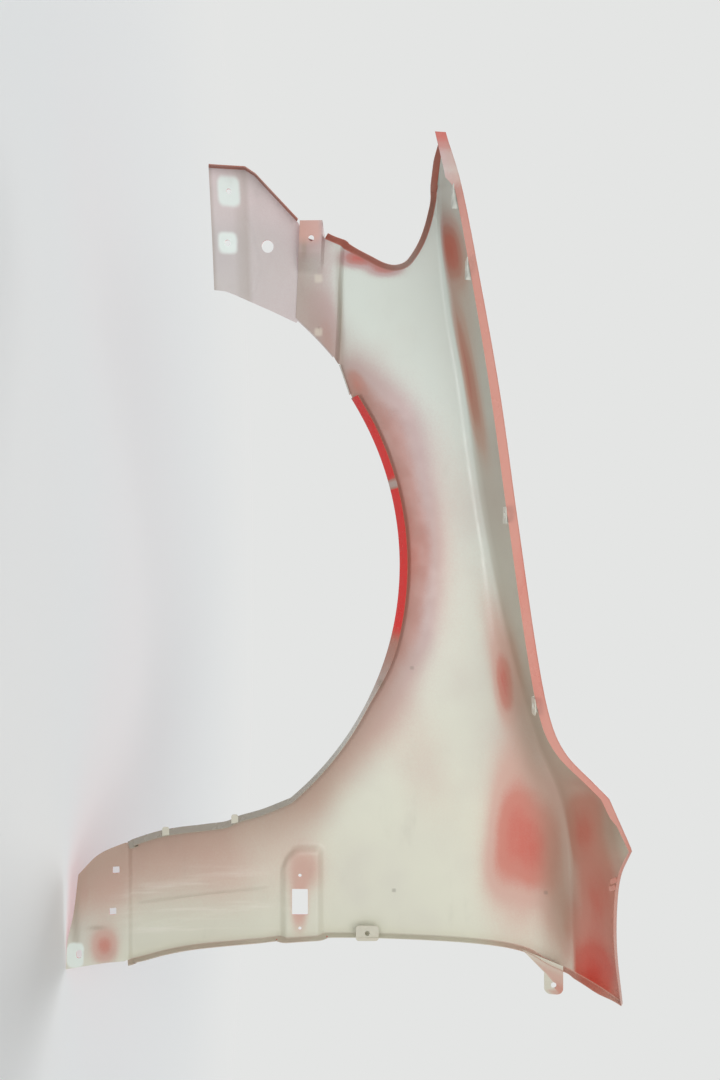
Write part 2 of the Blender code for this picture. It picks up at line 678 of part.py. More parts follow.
def combine(obj, tool, operation):
    """Cut the tool from an object, or join it on, and leave the tool as a guide."""
    boolean = obj.modifiers.new(f"{operation.lower()} {tool.name}", "BOOLEAN")
    boolean.operation = operation
    boolean.solver = "EXACT"
    boolean.object = tool
    tool.hide_render = True
    tool.display_type = "WIRE"


def shell(obj, thickness, direction):
    """Thicken an open sheet, outward for +1 and inward for -1."""
    solidify = obj.modifiers.new("sheet thickness", "SOLIDIFY")
    solidify.thickness = thickness
    solidify.offset = direction
    solidify.use_even_offset = True
    solidify.use_quality_normals = True


def painted_steel(name, colour):
    material = bpy.data.materials.new(name)
    material.use_nodes = True
    surface = material.node_tree.nodes["Principled BSDF"]
    surface.inputs["Base Color"].default_value = colour
    surface.inputs["Roughness"].default_value = 0.5
    surface.inputs["Metallic"].default_value = 0.1
    material.diffuse_color = colour
    return material


def hood_tab_ends(x):
    """The feet of the wall at a bolt tab's two ends."""
    return [top_edge(end) + wall_drop(end) for end in (x - HOOD_TAB_LENGTH / 2, x + HOOD_TAB_LENGTH / 2)]


def hood_tab_seat(x):
    """Centre of a bolt tab's hole on its level underside, just below the wall."""
    rear, front = hood_tab_ends(x)
    return Vector((x, (rear.y + front.y) / 2 + HOOD_TAB_REACH / 2, min(rear.z, front.z) - HOOD_TAB_DROP))


def add_hood_tabs(panel, tools):
    """Bolt tabs: each hangs from the wall beside the hood and turns inboard, level."""
    for number, x in enumerate(HOOD_TABS_X, 1):
        seat, (rear, front) = hood_tab_seat(x), hood_tab_ends(x)
        along_wall = (0, (front.y - rear.y) / HOOD_TAB_LENGTH)
        root_y = seat.y - HOOD_TAB_REACH / 2
        riser = box(f"tab {number} riser", (rear.x, root_y - SHEET, seat.z),
                    (front.x, root_y + TAB_BITE, max(rear.z, front.z) + HOOD_TAB_LAP),
                    tools, slant=along_wall)
        combine(panel, riser, "UNION")
        foot = box(f"tab {number} foot", (rear.x, root_y - SHEET, seat.z),
                   (front.x, root_y + HOOD_TAB_REACH, seat.z + SHEET), tools, slant=along_wall)
        combine(panel, foot, "UNION")
        hole = drill(f"tab {number} hole", seat, HOOD_TAB_HOLE, "Z", tools, CUT_DEPTH / 2)
        combine(panel, hole, "DIFFERENCE")


def door_flange_end(z):
    """How far inboard the door flange ends, less the thickness of what is turned from it."""
    return side_point(door_x(z), z).y + DOOR_FLANGE - SHEET


def add_door_tabs(panel, tools):
    """The tab turned forward from the door flange, and the ear turned back to the pillar."""
    seat_y = door_flange_end(DOOR_TAB_Z)
    edge_x = door_x(DOOR_TAB_Z)
    tab = box("door tab", (edge_x - DOOR_TAB_OUT, seat_y - SHEET, DOOR_TAB_Z - DOOR_TAB_WIDTH / 2),
              (edge_x + DOOR_TAB_IN, seat_y, DOOR_TAB_Z + DOOR_TAB_WIDTH / 2), tools)
    combine(panel, tab, "UNION")
    hole_x = edge_x + (DOOR_TAB_IN - DOOR_TAB_OUT) / 2
    combine(panel, drill("door tab hole", (hole_x, seat_y, DOOR_TAB_Z), DOOR_TAB_HOLE, "Y", tools),
            "DIFFERENCE")

    low, high = EAR_Z - EAR_WIDTH / 2, EAR_Z + EAR_WIDTH / 2
    gusset_z = low - EAR_GUSSET_LENGTH
    root_x = door_x(EAR_Z) + SHEET
    end_x = root_x - EAR_REACH + EAR_CORNER
    outline = [(root_x, high), *arc((end_x, high - EAR_CORNER), EAR_CORNER, pi / 2, pi)]
    outline += arc((end_x, low + EAR_CORNER), EAR_CORNER, pi, 1.5 * pi)
    outline += [(root_x - EAR_GUSSET_REACH, low), (door_x(gusset_z) + SHEET, gusset_z)]
    ear = plate("ear", [(x, door_flange_end(z), z) for x, z in outline], SHEET, tools)
    combine(panel, ear, "UNION")
    hole_centre = (root_x - EAR_REACH + EAR_WIDTH / 2, door_flange_end(EAR_Z), EAR_Z)
    combine(panel, drill("ear hole", hole_centre, EAR_HOLE, "Y", tools), "DIFFERENCE")


def add_liner_ears(panel, tools):
    """Small ears that turn into the arch from the inboard edge of its lip, for the liner."""
    for number, z in enumerate(LINER_EARS_Z, 1):
        x = leg_edge_x(z)
        root_x = x - ARCH_LIP * sin(ARCH_LIP_LEAN_REAR)
        y = side_point(x, z).y + ARCH_LIP * cos(ARCH_LIP_LEAN_REAR) - SHEET
        ear = box(f"liner ear {number}", (root_x, y - SHEET, z - LINER_EAR_WIDTH / 2),
                  (x + LINER_EAR_REACH, y, z + LINER_EAR_WIDTH / 2), tools)
        combine(panel, ear, "UNION")


def add_seal_hooks(panel, tools):
    """Narrow hooks that hang behind the top from the wall of the pillar edge."""
    for number, x in enumerate(SEAL_HOOKS_X, 1):
        edge = top_edge(x)
        y = edge.y + SEAL_HOOK_SLOPE * (SEAL_HOOK_TOP + SEAL_HOOK_LENGTH) / 2 + TAB_BITE
        hook = box(f"seal hook {number}",
                   (x - SEAL_HOOK_WIDTH / 2, y - SHEET, edge.z - SEAL_HOOK_LENGTH),
                   (x + SEAL_HOOK_WIDTH / 2, y, edge.z - SEAL_HOOK_TOP), tools,
                   slant=(2, -SEAL_HOOK_SLOPE))
        combine(panel, hook, "UNION")


def cut_panel_holes(panel, tools):
    """The side lamp's window and screws, the sill clips, the leg screw and the tab hole."""
    x, z = LAMP_HOLE_CENTRE
    y = side_point(x, z).y
    window = box("lamp window", (x - LAMP_HOLE_LENGTH / 2, y - CUT_DEPTH, z - LAMP_HOLE_HEIGHT / 2),
                 (x + LAMP_HOLE_LENGTH / 2, y + CUT_DEPTH, z + LAMP_HOLE_HEIGHT / 2), tools)
    combine(panel, window, "DIFFERENCE")
    for number, side in enumerate((-1, 1), 1):
        screw_x = x + side * LAMP_SCREW_PITCH / 2
        centre = side_point(screw_x, z)
        combine(panel, drill(f"lamp screw {number}", centre, LAMP_SCREW_HOLE, "Y", tools), "DIFFERENCE")
    for number, (x, z) in enumerate(CLIP_HOLES, 1):
        y, half = side_point(x, z).y, CLIP_HOLE_SIDE / 2
        clip = box(f"sill clip {number}", (x - half, y - CUT_DEPTH, z - half),
                   (x + half, y + CUT_DEPTH, z + half), tools)
        combine(panel, clip, "DIFFERENCE")
    x, z = LEG_SCREW
    y = side_point(x, z).y
    slot = box("leg screw slot", (x - LEG_SCREW_LENGTH / 2, y - CUT_DEPTH, z - LEG_SCREW_WIDTH / 2),
               (x + LEG_SCREW_LENGTH / 2, y + CUT_DEPTH, z + LEG_SCREW_WIDTH / 2), tools)
    combine(panel, slot, "DIFFERENCE")
    tab_z = (TAB_SIDE_Z + FLANGE_END_Z) / 2
    tab_y = plain_depth(TAB_HOLE_X, tab_z) + FLANGE_STEP_DEPTH + TAB_LIFT
    hole = drill("front tab hole", (TAB_HOLE_X, tab_y, tab_z), TAB_HOLE, "Y", tools)
    combine(panel, hole, "DIFFERENCE")


def bracket_sheet():
    """Inner face of the bumper bracket, lapped behind the front flange, with its bent foot
    and the flange along its upper edges."""
    head, foot = straight_curve(BRACKET_TOP), smooth_curve(BRACKET_FOOT)
    end_z = FLANGE_END_Z + BRACKET_LAP
    bm = bmesh.new()
    rows = []
    for i in range(BRACKET_ROWS + 1):
        z = mix(BRACKET_END_Z, end_z, i / BRACKET_ROWS)
        low = foot(z)
        if z > BRACKET_FOOT[-1][0]:
            low = sqrt(FLANGE_EDGE_RADIUS ** 2 - z * z) - BRACKET_OVERHANG
        points = []
        for j in range(BRACKET_COLUMNS + 1):
            x = mix(low, head(z), j / BRACKET_COLUMNS)
            bend = BRACKET_BEND * max(BRACKET_BEND_Z - z, 0.0)
            depth = plain_depth(x, z) + FLANGE_STEP_DEPTH - SHEET - WELD_GAP + bend
            points.append(Vector((x, depth, z)))
        rows.append(points)
    grid = add_rows(bm, rows)
    plate_spot = grid[BRACKET_ROWS // 2][BRACKET_COLUMNS // 2]
    face_outboard(bm, plate_spot)
    edge = [row[-1] for row in grid if row[-1].co.z < FLANGE_END_Z - BRACKET_FLANGE_STOP]
    depths, leans = [BRACKET_FLANGE] * len(edge), [BRACKET_FLANGE_LEAN] * len(edge)
    fold_edge(bm, edge, turned_in(edge, depths, leans))
    face_outboard(bm, plate_spot)
    mesh = bpy.data.meshes.new("bumper_bracket")
    bm.to_mesh(mesh)
    bm.free()
    return mesh


def build():
    for obj in list(bpy.data.objects):
        bpy.data.objects.remove(obj, do_unlink=True)
    parts = bpy.data.collections.new("right_front_fender")
    tools = bpy.data.collections.new("cutters and joined tabs")
    for collection in (parts, tools):
        bpy.context.scene.collection.children.link(collection)

    frame = bpy.data.objects.new("fender_frame", None)
    frame.location = -mount_point()
    parts.objects.link(frame)

    panel = bpy.data.objects.new("fender_panel", panel_sheet())
    panel.data.materials.append(painted_steel("fender_primer", PRIMER_GREY))
    parts.objects.link(panel)
    shell(panel, SHEET, 1)
    add_hood_tabs(panel, tools)
    add_door_tabs(panel, tools)
    add_liner_ears(panel, tools)
    add_seal_hooks(panel, tools)
    cut_panel_holes(panel, tools)

    bracket = bpy.data.objects.new("bumper_bracket", bracket_sheet())
    bracket.data.materials.append(painted_steel("bracket_primer", BRACKET_GREY))
    parts.objects.link(bracket)
    shell(bracket, BRACKET_SHEET, 1)
    for number, (x, z, diameter) in enumerate(BRACKET_HOLES, 1):
        bend = BRACKET_BEND * max(BRACKET_BEND_Z - z, 0.0)
        y = plain_depth(x, z) + FLANGE_STEP_DEPTH + bend
        combine(bracket, drill(f"bracket hole {number}", (x, y, z), diameter, "Y", tools), "DIFFERENCE")

    for obj in (panel, bracket, *tools.objects):
        obj.parent = frame
    for obj in (panel, bracket):
        obj.data.shade_smooth()
        obj.data.set_sharp_from_angle(angle=radians(30))


def mount_point():
    """The seat on the rear bolt tab, inboard of its hole."""
    seat = hood_tab_seat(HOOD_TABS_X[0])
    return seat + Vector((0, HOOD_TAB_HOLE, 0))


build()
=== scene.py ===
from bisect import bisect_right
from math import atan2, cos, exp, hypot, pi, radians, sin, sqrt

import bmesh
import bpy
from mathutils import Matrix, Vector
from mathutils.kdtree import KDTree


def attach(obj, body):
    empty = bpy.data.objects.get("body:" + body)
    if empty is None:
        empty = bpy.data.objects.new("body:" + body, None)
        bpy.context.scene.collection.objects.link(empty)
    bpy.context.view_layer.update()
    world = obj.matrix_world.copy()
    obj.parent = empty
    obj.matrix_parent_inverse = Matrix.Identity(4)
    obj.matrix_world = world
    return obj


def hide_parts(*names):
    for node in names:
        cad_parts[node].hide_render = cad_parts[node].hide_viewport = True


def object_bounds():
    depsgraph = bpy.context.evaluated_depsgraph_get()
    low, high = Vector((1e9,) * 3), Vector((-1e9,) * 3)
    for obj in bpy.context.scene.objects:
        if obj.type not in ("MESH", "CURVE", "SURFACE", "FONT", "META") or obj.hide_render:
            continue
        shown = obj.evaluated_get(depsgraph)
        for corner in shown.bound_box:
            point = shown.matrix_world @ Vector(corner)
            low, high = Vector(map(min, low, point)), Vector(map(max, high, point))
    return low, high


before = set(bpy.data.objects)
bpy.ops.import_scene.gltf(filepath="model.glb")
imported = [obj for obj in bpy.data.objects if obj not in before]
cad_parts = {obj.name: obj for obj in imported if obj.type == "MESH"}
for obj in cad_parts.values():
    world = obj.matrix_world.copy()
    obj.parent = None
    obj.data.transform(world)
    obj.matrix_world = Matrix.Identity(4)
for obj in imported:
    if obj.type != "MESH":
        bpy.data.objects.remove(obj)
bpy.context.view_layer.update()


# The skin of the fender: the side over the wheel arch and the top beside the hood, one steel
# sheet drawn over a die. It is lofted in rows that run from the arch up over the shoulder
# crease to the top edge. X runs forward, Y inboard and Z up from the centre of the arch.
SHEET = 0.0008
ARCH_RADIUS = 0.408
ARCH_FRONT_ANGLE = radians(50.0)
ARCH_REAR_ANGLE = radians(52.0)
ARCH_LEG_ANGLE = radians(40.0)
ARCH_LIP_FRONT_ANGLE = radians(57.0)
ARCH_FLARE = 0.006
ARCH_FLARE_WIDTH = 0.075
ARCH_FRONT_X = ARCH_RADIUS * cos(ARCH_FRONT_ANGLE)
ARCH_REAR_X = -ARCH_RADIUS * cos(ARCH_REAR_ANGLE)
ARCH_LIP_FRONT_X = ARCH_RADIUS * cos(ARCH_LIP_FRONT_ANGLE)
LEG_LEAVES_ARCH_X = -ARCH_RADIUS * cos(ARCH_LEG_ANGLE)
LEG_LEAVES_ARCH_Z = ARCH_RADIUS * sin(ARCH_LEG_ANGLE)
LEG_TOP_Z = 0.330
FLANGE_EDGE_BACK = 0.012
FLANGE_EDGE_RADIUS = ARCH_RADIUS + FLANGE_EDGE_BACK

WIDEST_Z = 0.22
TUMBLEHOME = 0.16
SILL_TUCK = 0.50
NOSE_START_X = 0.05
NOSE_TURN = 0.42

CREASE = [(-0.528, 0.631), (-0.433, 0.628), (-0.369, 0.625), (-0.305, 0.613), (-0.228, 0.583),
          (-0.098, 0.545), (0.022, 0.522), (0.123, 0.505), (0.239, 0.487), (0.326, 0.469),
          (0.418, 0.454), (0.471, 0.451)]
CREASE_SOFTNESS = [(-0.528, 0.007), (-0.40, 0.010), (-0.25, 0.024), (-0.10, 0.022),
                   (0.022, 0.010), (0.30, 0.007), (0.471, 0.004)]
TOP_CROWN = 0.003
HOOD_EDGE = [(-0.280, 0.113, 0.656), (-0.262, 0.110, 0.638), (-0.230, 0.104, 0.607),
             (-0.195, 0.099, 0.590), (-0.120, 0.097, 0.574), (0.065, 0.103, 0.546),
             (0.210, 0.113, 0.524), (0.350, 0.131, 0.496), (0.450, 0.152, 0.472),
             (0.502, 0.165, 0.453)]
COWL_EDGE = [(-0.338, 0.125, 0.680), (-0.280, 0.113, 0.656)]
PILLAR_EDGE = [(-0.556, 0.055, 0.689), (-0.480, 0.080, 0.675), (-0.420, 0.100, 0.669),
               (-0.372, 0.114, 0.670), (-0.338, 0.125, 0.680)]
LAMP_CUT = [(0.404, 0.336), (0.390, 0.365), (0.381, 0.384), (0.378, 0.400), (0.382, 0.415),
            (0.392, 0.425), (0.408, 0.435), (0.426, 0.442), (0.446, 0.447), (0.471, 0.451)]
SPIKE_LAMP_SIDE = [(0.471, 0.083, 0.451), (0.488, 0.118, 0.4515), (0.503, 0.150, 0.4525)]
SPIKE_ROOT_HOOD_X = 0.460
DOOR_EDGE = [(-0.026, -0.523), (0.022, -0.520), (0.054, -0.519), (0.098, -0.510),
             (0.133, -0.505), (0.209, -0.499), (0.275, -0.493), (0.330, -0.490),
             (0.460, -0.491), (0.536, -0.495), (0.577, -0.503), (0.600, -0.516),
             (0.631, -0.528)]

FRONT_ROWS = 32
ARCH_ROWS = 110
REAR_ROWS = 72
FRONT_ROW_LEAN = 0.013
REAR_ROW_LEAN = 0.004
SPIKE_ROWS = 14
SIDE_COLUMNS = 44
CORNER_COLUMNS = 8
TOP_COLUMNS = 8
DOOR_STEPS = 40


def mix(a, b, share):
    return a + (b - a) * share


def ease(value, start, end):
    """Rise smoothly from 0 at start to 1 at end."""
    share = min(max((value - start) / (end - start), 0.0), 1.0)
    return share * share * (3 - 2 * share)


def smooth_curve(points):
    """A smooth curve through the points, read by their first coordinate."""
    points = sorted(points)
    firsts = [point[0] for point in points]
    last = len(points) - 1

    def slope(index):
        before, after = points[max(index - 1, 0)], points[min(index + 1, last)]
        return [(b - a) / (after[0] - before[0]) for a, b in zip(before[1:], after[1:])]

    def read(at):
        index = min(max(bisect_right(firsts, at) - 1, 0), last - 1)
        start, end = points[index], points[index + 1]
        span = end[0] - start[0]
        t = (at - start[0]) / span
        values = []
        for a, b, m, n in zip(start[1:], end[1:], slope(index), slope(index + 1)):
            values.append(a * (1 + 2 * t) * (1 - t) ** 2 + b * t * t * (3 - 2 * t)
                          + span * (m * t * (1 - t) ** 2 + n * t * t * (t - 1)))
        return values if len(values) > 1 else values[0]

    return read


def straight_curve(points):
    """Straight stretches between the points, read by their first coordinate."""
    points = sorted(points)

    def read(at):
        index = bisect_right([point[0] for point in points], at) - 1
        index = min(max(index, 0), len(points) - 2)
        (a, low), (b, high) = points[index], points[index + 1]
        return mix(low, high, min(max((at - a) / (b - a), 0.0), 1.0))

    return read


def by_length(points, share):
    """The point at this share of the length of a polyline."""
    lengths = [(b - a).length for a, b in zip(points, points[1:])]
    left = share * sum(lengths)
    for a, b, length in zip(points, points[1:], lengths):
        if left <= length or b is points[-1]:
            return mix(a, b, min(left / length, 1.0))
        left -= length


def bow_of(points, share):
    """How far a curved edge stands off its chord at this share of its length."""
    return by_length(points, share) - mix(points[0], points[-1], share)


def edge_polyline(points, steps=12):
    """A smooth polyline through plane points, by chord steps."""
    ends = [points[0] * 2 - points[1], *points, points[-1] * 2 - points[-2]]
    line = []
    for a, b, c, d in zip(ends, ends[1:], ends[2:], ends[3:]):
        for step in range(steps):
            t = step / steps
            line.append(0.5 * (2 * b + (c - a) * t + (2 * a - 5 * b + 4 * c - d) * t * t
                               + (3 * b - a - 3 * c + d) * t ** 3))
    return line + [points[-1]]


def corner(start, middle, end, share):
    """A soft corner from start to end, drawn towards the middle point."""
    return mix(mix(start, middle, share), mix(middle, end, share), share)


crease_z = smooth_curve(CREASE)
crease_softness = straight_curve(CREASE_SOFTNESS)
door_x = smooth_curve(DOOR_EDGE)
hood_edge = smooth_curve(HOOD_EDGE)
cowl_edge = smooth_curve(COWL_EDGE)
pillar_edge = smooth_curve(PILLAR_EDGE)
spike_lamp_side = smooth_curve(SPIKE_LAMP_SIDE)


def top_edge(x):
    """A point of the edge beside hood, cowl and pillar."""
    if x > HOOD_EDGE[0][0]:
        y, z = hood_edge(x)
    elif x > COWL_EDGE[0][0]:
        y, z = cowl_edge(x)
    else:
        y, z = pillar_edge(x)
    return Vector((x, y, z))


def plain_depth(x, z):
    """Depth of the side without its flare and pressings."""
    high, low = max(z - WIDEST_Z, 0.0), max(WIDEST_Z - z, 0.0)
    nose = max(x - NOSE_START_X, 0.0)
    return TUMBLEHOME * high ** 2 + SILL_TUCK * low ** 2 + NOSE_TURN * nose ** 2


def side_point(x, z):
    """A point of the side, with the flare round the arch."""
    from_edge = hypot(x, z) - ARCH_RADIUS
    flare = ARCH_FLARE * (1 - ease(from_edge, 0.0, ARCH_FLARE_WIDTH))
    flare *= ease(z, LEG_LEAVES_ARCH_Z / 2, LEG_LEAVES_ARCH_Z)
    flare *= ease(ARCH_FRONT_X - x, 0.0, ARCH_FLARE_WIDTH)
    return Vector((x, plain_depth(x, z) - flare, z))


def arch_z(x):
    """Height of the arch edge, which runs straight into the front flange's step."""
    if x > ARCH_LIP_FRONT_X:
        share = (x - ARCH_LIP_FRONT_X) / (ARCH_FRONT_X - ARCH_LIP_FRONT_X)
        start = sqrt(ARCH_RADIUS ** 2 - ARCH_LIP_FRONT_X ** 2)
        foot = sqrt(FLANGE_EDGE_RADIUS ** 2 - ARCH_FRONT_X ** 2)
        return mix(start, foot, share)
    return sqrt(ARCH_RADIUS ** 2 - x * x)


def upper_rows():
    """Rows from the headlamp cut to the door edge: where each meets the arch side, the
    crease and the top edge, and its shares of the headlamp cut's and door edge's shape."""
    keys = [(LAMP_CUT[0][0], LAMP_CUT[-1][0], SPIKE_ROOT_HOOD_X),
            (ARCH_FRONT_X, ARCH_FRONT_X + FRONT_ROW_LEAN, ARCH_FRONT_X + FRONT_ROW_LEAN),
            (ARCH_REAR_X, ARCH_REAR_X - REAR_ROW_LEAN, ARCH_REAR_X - REAR_ROW_LEAN),
            (door_x(LEG_TOP_Z), CREASE[0][0], PILLAR_EDGE[0][0])]
    rows = []
    for run, count in enumerate((FRONT_ROWS, ARCH_ROWS, REAR_ROWS)):
        for step in range(count if run < 2 else count + 1):
            share = step / count
            xs = [mix(a, b, share) for a, b in zip(keys[run], keys[run + 1])]
            rows.append((xs, 1 - share if run == 0 else 0.0, share if run == 2 else 0.0))
    return rows


def foot_of_row(x):
    """Where an upper row starts: on the cut's foot, on the arch or on top of the leg."""
    if x > ARCH_FRONT_X:
        share = (x - ARCH_FRONT_X) / (LAMP_CUT[0][0] - ARCH_FRONT_X)
        return Vector((x, mix(arch_z(ARCH_FRONT_X), LAMP_CUT[0][1], share)))
    if x >= ARCH_REAR_X:
        return Vector((x, arch_z(x)))
    share = (ARCH_REAR_X - x) / (ARCH_REAR_X - door_x(LEG_TOP_Z))
    return Vector((x, mix(arch_z(ARCH_REAR_X), LEG_TOP_Z, share)))


def upper_sections():
    """Points of every row from its foot over the crease to the top edge."""
    cut = edge_polyline([Vector(p) for p in LAMP_CUT])
    door_heights = [mix(LEG_TOP_Z, CREASE[0][1], i / DOOR_STEPS) for i in range(DOOR_STEPS + 1)]
    door = [Vector((door_x(z), z)) for z in door_heights]
    sections = []
    for (foot_x, crease_x, top_x), cut_share, door_share in upper_rows():
        foot = foot_of_row(foot_x)
        peak = Vector((crease_x, crease_z(crease_x)))
        soft = crease_softness(crease_x)

        def side_at(share):
            flat = mix(foot, peak, share)
            if cut_share:
                flat += bow_of(cut, share) * cut_share
            if door_share:
                flat += bow_of(door, share) * door_share
            return side_point(flat.x, flat.y)

        peak_point, top = side_at(1.0), top_edge(top_x)
        last_share = 1 - soft / (peak - foot).length
        points = [side_at(last_share * i / SIDE_COLUMNS) for i in range(SIDE_COLUMNS + 1)]
        turned = mix(peak_point, top, min(soft / (top - peak_point).length, 0.5))
        start = points[-1]
        points += [corner(start, peak_point, turned, i / CORNER_COLUMNS)
                   for i in range(1, CORNER_COLUMNS + 1)]
        for i in range(1, TOP_COLUMNS + 1):
            share = i / TOP_COLUMNS
            crown = Vector((0, 0, TOP_CROWN * 4 * share * (1 - share)))
            points.append(mix(turned, top, share) + crown)
        sections.append(points)
    return sections


def spike_sections(root):
    """Rows of the spike between headlamp and hood, from the tip back to its root row."""
    rows = []
    count = len(root) - 1
    for step in range(SPIKE_ROWS):
        share = step / SPIKE_ROWS
        lamp_x = mix(SPIKE_LAMP_SIDE[-1][0], SPIKE_LAMP_SIDE[0][0], share)
        top_x = mix(HOOD_EDGE[-1][0], SPIKE_ROOT_HOOD_X, share)
        y, z = spike_lamp_side(lamp_x)
        lamp = Vector((lamp_x, y, z)) + (root[0] - Vector(SPIKE_LAMP_SIDE[0])) * share
        top = top_edge(top_x)
        rows.append([mix(lamp, top, i / count)
                     + (root[i] - mix(root[0], root[-1], i / count)) * share
                     for i in range(count + 1)])
    return rows


def join_chains(bm, first, second):
    """Join two rows of as many vertices by four-sided faces."""
    for a, b, c, d in zip(first, first[1:], second[1:], second):
        bm.faces.new((a, b, c, d))


def add_rows(bm, rows, first=None):
    """Put rows of points in the mesh, joined by four-sided faces, below a first row that
    is already there if one is given."""
    grid = [first] if first else []
    for row in rows:
        grid.append([bm.verts.new(point) for point in row])
    for above, below in zip(grid, grid[1:]):
        join_chains(bm, above, below)
    return grid


def finish_layers(bm):
    """The layers of a mesh's vertices: red mist, red top coat, and old dust with painted shade."""
    layers = bm.verts.layers.float
    return [layers.get(name) or layers.new(name) for name in ("spray", "top_coat", "dust_and_shade")]


sheet = bmesh.new()
spray, top_coat, dust_and_shade = finish_layers(sheet)
upper = upper_sections()
upper_grid = add_rows(sheet, upper)
spike_grid = add_rows(sheet, spike_sections(upper[0][SIDE_COLUMNS:]))
join_chains(sheet, spike_grid[-1], upper_grid[0][SIDE_COLUMNS:])
skin_spot = upper_grid[FRONT_ROWS + ARCH_ROWS // 2][SIDE_COLUMNS // 2]


# The rear leg, down behind the wheel to the sill: the same sheet, with the side lamp's pocket
# pressed inboard, three shallow folds that stiffen it, and the step that the sill cover laps
# over.
LEG_EDGE = [(0.0, 0.0), (0.136, 0.0145), (0.264, 0.024), (0.308, 0.0295), (0.410, 0.0325),
            (0.612, 0.0385), (0.806, 0.0535), (0.916, 0.0665), (1.0, 0.0895)]
LEG_BOTTOM = [(-0.402, -0.011), (-0.453, -0.017), (-0.486, -0.024), (-0.523, -0.026)]
SILL_STEP_Z = 0.050
SILL_STEP_DEPTH = 0.004
SILL_STEP_WIDTH = 0.006
LEG_FOLDS = [(-0.426, -0.409, 0.0018), (-0.447, -0.430, -0.0030), (-0.481, -0.453, 0.0022)]
LEG_FOLD_WIDTH = 0.005
LEG_FOLD_TOP_Z = 0.238
LEG_FOLD_RUN_OUT = 0.018
POCKET_TOP_Z = 0.309
POCKET_BOTTOM_Z = 0.247
POCKET_FRONT_X = -0.371
POCKET_WALL = 0.012
POCKET_DEPTH = 0.008
POCKET_FRONT_ROUND = 1.1
LEG_ROWS = [(POCKET_TOP_Z, 8), (POCKET_TOP_Z - POCKET_WALL, 9),
            (POCKET_BOTTOM_Z + POCKET_WALL, 14), (POCKET_BOTTOM_Z, 9),
            (SILL_STEP_Z + SILL_STEP_WIDTH, 44), (SILL_STEP_Z, 6)]
LEG_FOOT_ROWS = 18

leg_edge_x = smooth_curve([(mix(LEG_LEAVES_ARCH_Z, LEG_BOTTOM[0][1], share),
                            LEG_LEAVES_ARCH_X - behind) for share, behind in LEG_EDGE])
leg_bottom_z = smooth_curve(LEG_BOTTOM)


def pocket_depth(x, z):
    """How far the side lamp pocket stands inboard, with a round front end."""
    middle = (POCKET_TOP_Z + POCKET_BOTTOM_Z) / 2
    half = (POCKET_TOP_Z - POCKET_BOTTOM_Z) / 2
    across = ease(half - abs(z - middle), 0.0, POCKET_WALL)
    front = POCKET_FRONT_X - POCKET_FRONT_ROUND * max(middle - z, 0.0) ** 2 / half
    return POCKET_DEPTH * across * ease(front - x, 0.0, POCKET_WALL)


def leg_relief(x, z):
    """The step for the sill cover and the slanting folds above it."""
    step = SILL_STEP_DEPTH * ease(SILL_STEP_Z + SILL_STEP_WIDTH - z, 0.0, SILL_STEP_WIDTH)
    share = (z - SILL_STEP_Z) / (LEG_FOLD_TOP_Z - SILL_STEP_Z)
    folds = sum(rise * ease(mix(low_x, high_x, share) - x, -LEG_FOLD_WIDTH / 2, LEG_FOLD_WIDTH / 2)
                for low_x, high_x, rise in LEG_FOLDS)
    folds *= ease(z - SILL_STEP_Z - SILL_STEP_WIDTH, 0.0, LEG_FOLD_RUN_OUT)
    folds *= ease(LEG_FOLD_TOP_Z - z, 0.0, LEG_FOLD_RUN_OUT)
    return step + folds


def leg_point(x, z):
    """A point of the leg, with its pocket and pressings."""
    return side_point(x, z) + Vector((0, pocket_depth(x, z) + leg_relief(x, z), 0))


def leg_sections(columns):
    """Rows of the leg, below the row it shares with the upper part, down to its foot."""
    foot_left, foot_right = LEG_BOTTOM[0], LEG_BOTTOM[-1]
    level = LEG_TOP_Z
    rights = []
    for end, count in LEG_ROWS:
        rights += [mix(level, end, (i + 1) / count) for i in range(count)]
        level = end
    rows = []
    start_left = arch_z(ARCH_REAR_X)
    for right_z in rights:
        near_top = (right_z - POCKET_BOTTOM_Z) / (LEG_TOP_Z - POCKET_BOTTOM_Z)
        left_z = right_z - (LEG_TOP_Z - start_left) * max(near_top, 0.0)
        if left_z > LEG_LEAVES_ARCH_Z:
            left_x = -sqrt(ARCH_RADIUS ** 2 - left_z ** 2)
        else:
            left_x = leg_edge_x(left_z)
        left, right = Vector((left_x, left_z)), Vector((door_x(right_z), right_z))
        rows.append([leg_point(*mix(left, right, i / columns)) for i in range(columns + 1)])
    for step in range(1, LEG_FOOT_ROWS + 1):
        share = step / LEG_FOOT_ROWS
        left_z = mix(SILL_STEP_Z, foot_left[1], share)
        right_z = mix(SILL_STEP_Z, foot_right[1], share)
        left = Vector((leg_edge_x(left_z), left_z))
        right = Vector((door_x(right_z), right_z))
        points = []
        for i in range(columns + 1):
            flat = mix(left, right, i / columns)
            foot_z = leg_bottom_z(mix(foot_left[0], foot_right[0], i / columns))
            flat.y += share * (foot_z - mix(foot_left[1], foot_right[1], i / columns))
            points.append(leg_point(flat.x, flat.y))
        rows.append(points)
    return rows


leg_top = [row[0] for row in upper_grid[FRONT_ROWS + ARCH_ROWS:]]
leg_grid = add_rows(sheet, leg_sections(REAR_ROWS), leg_top)


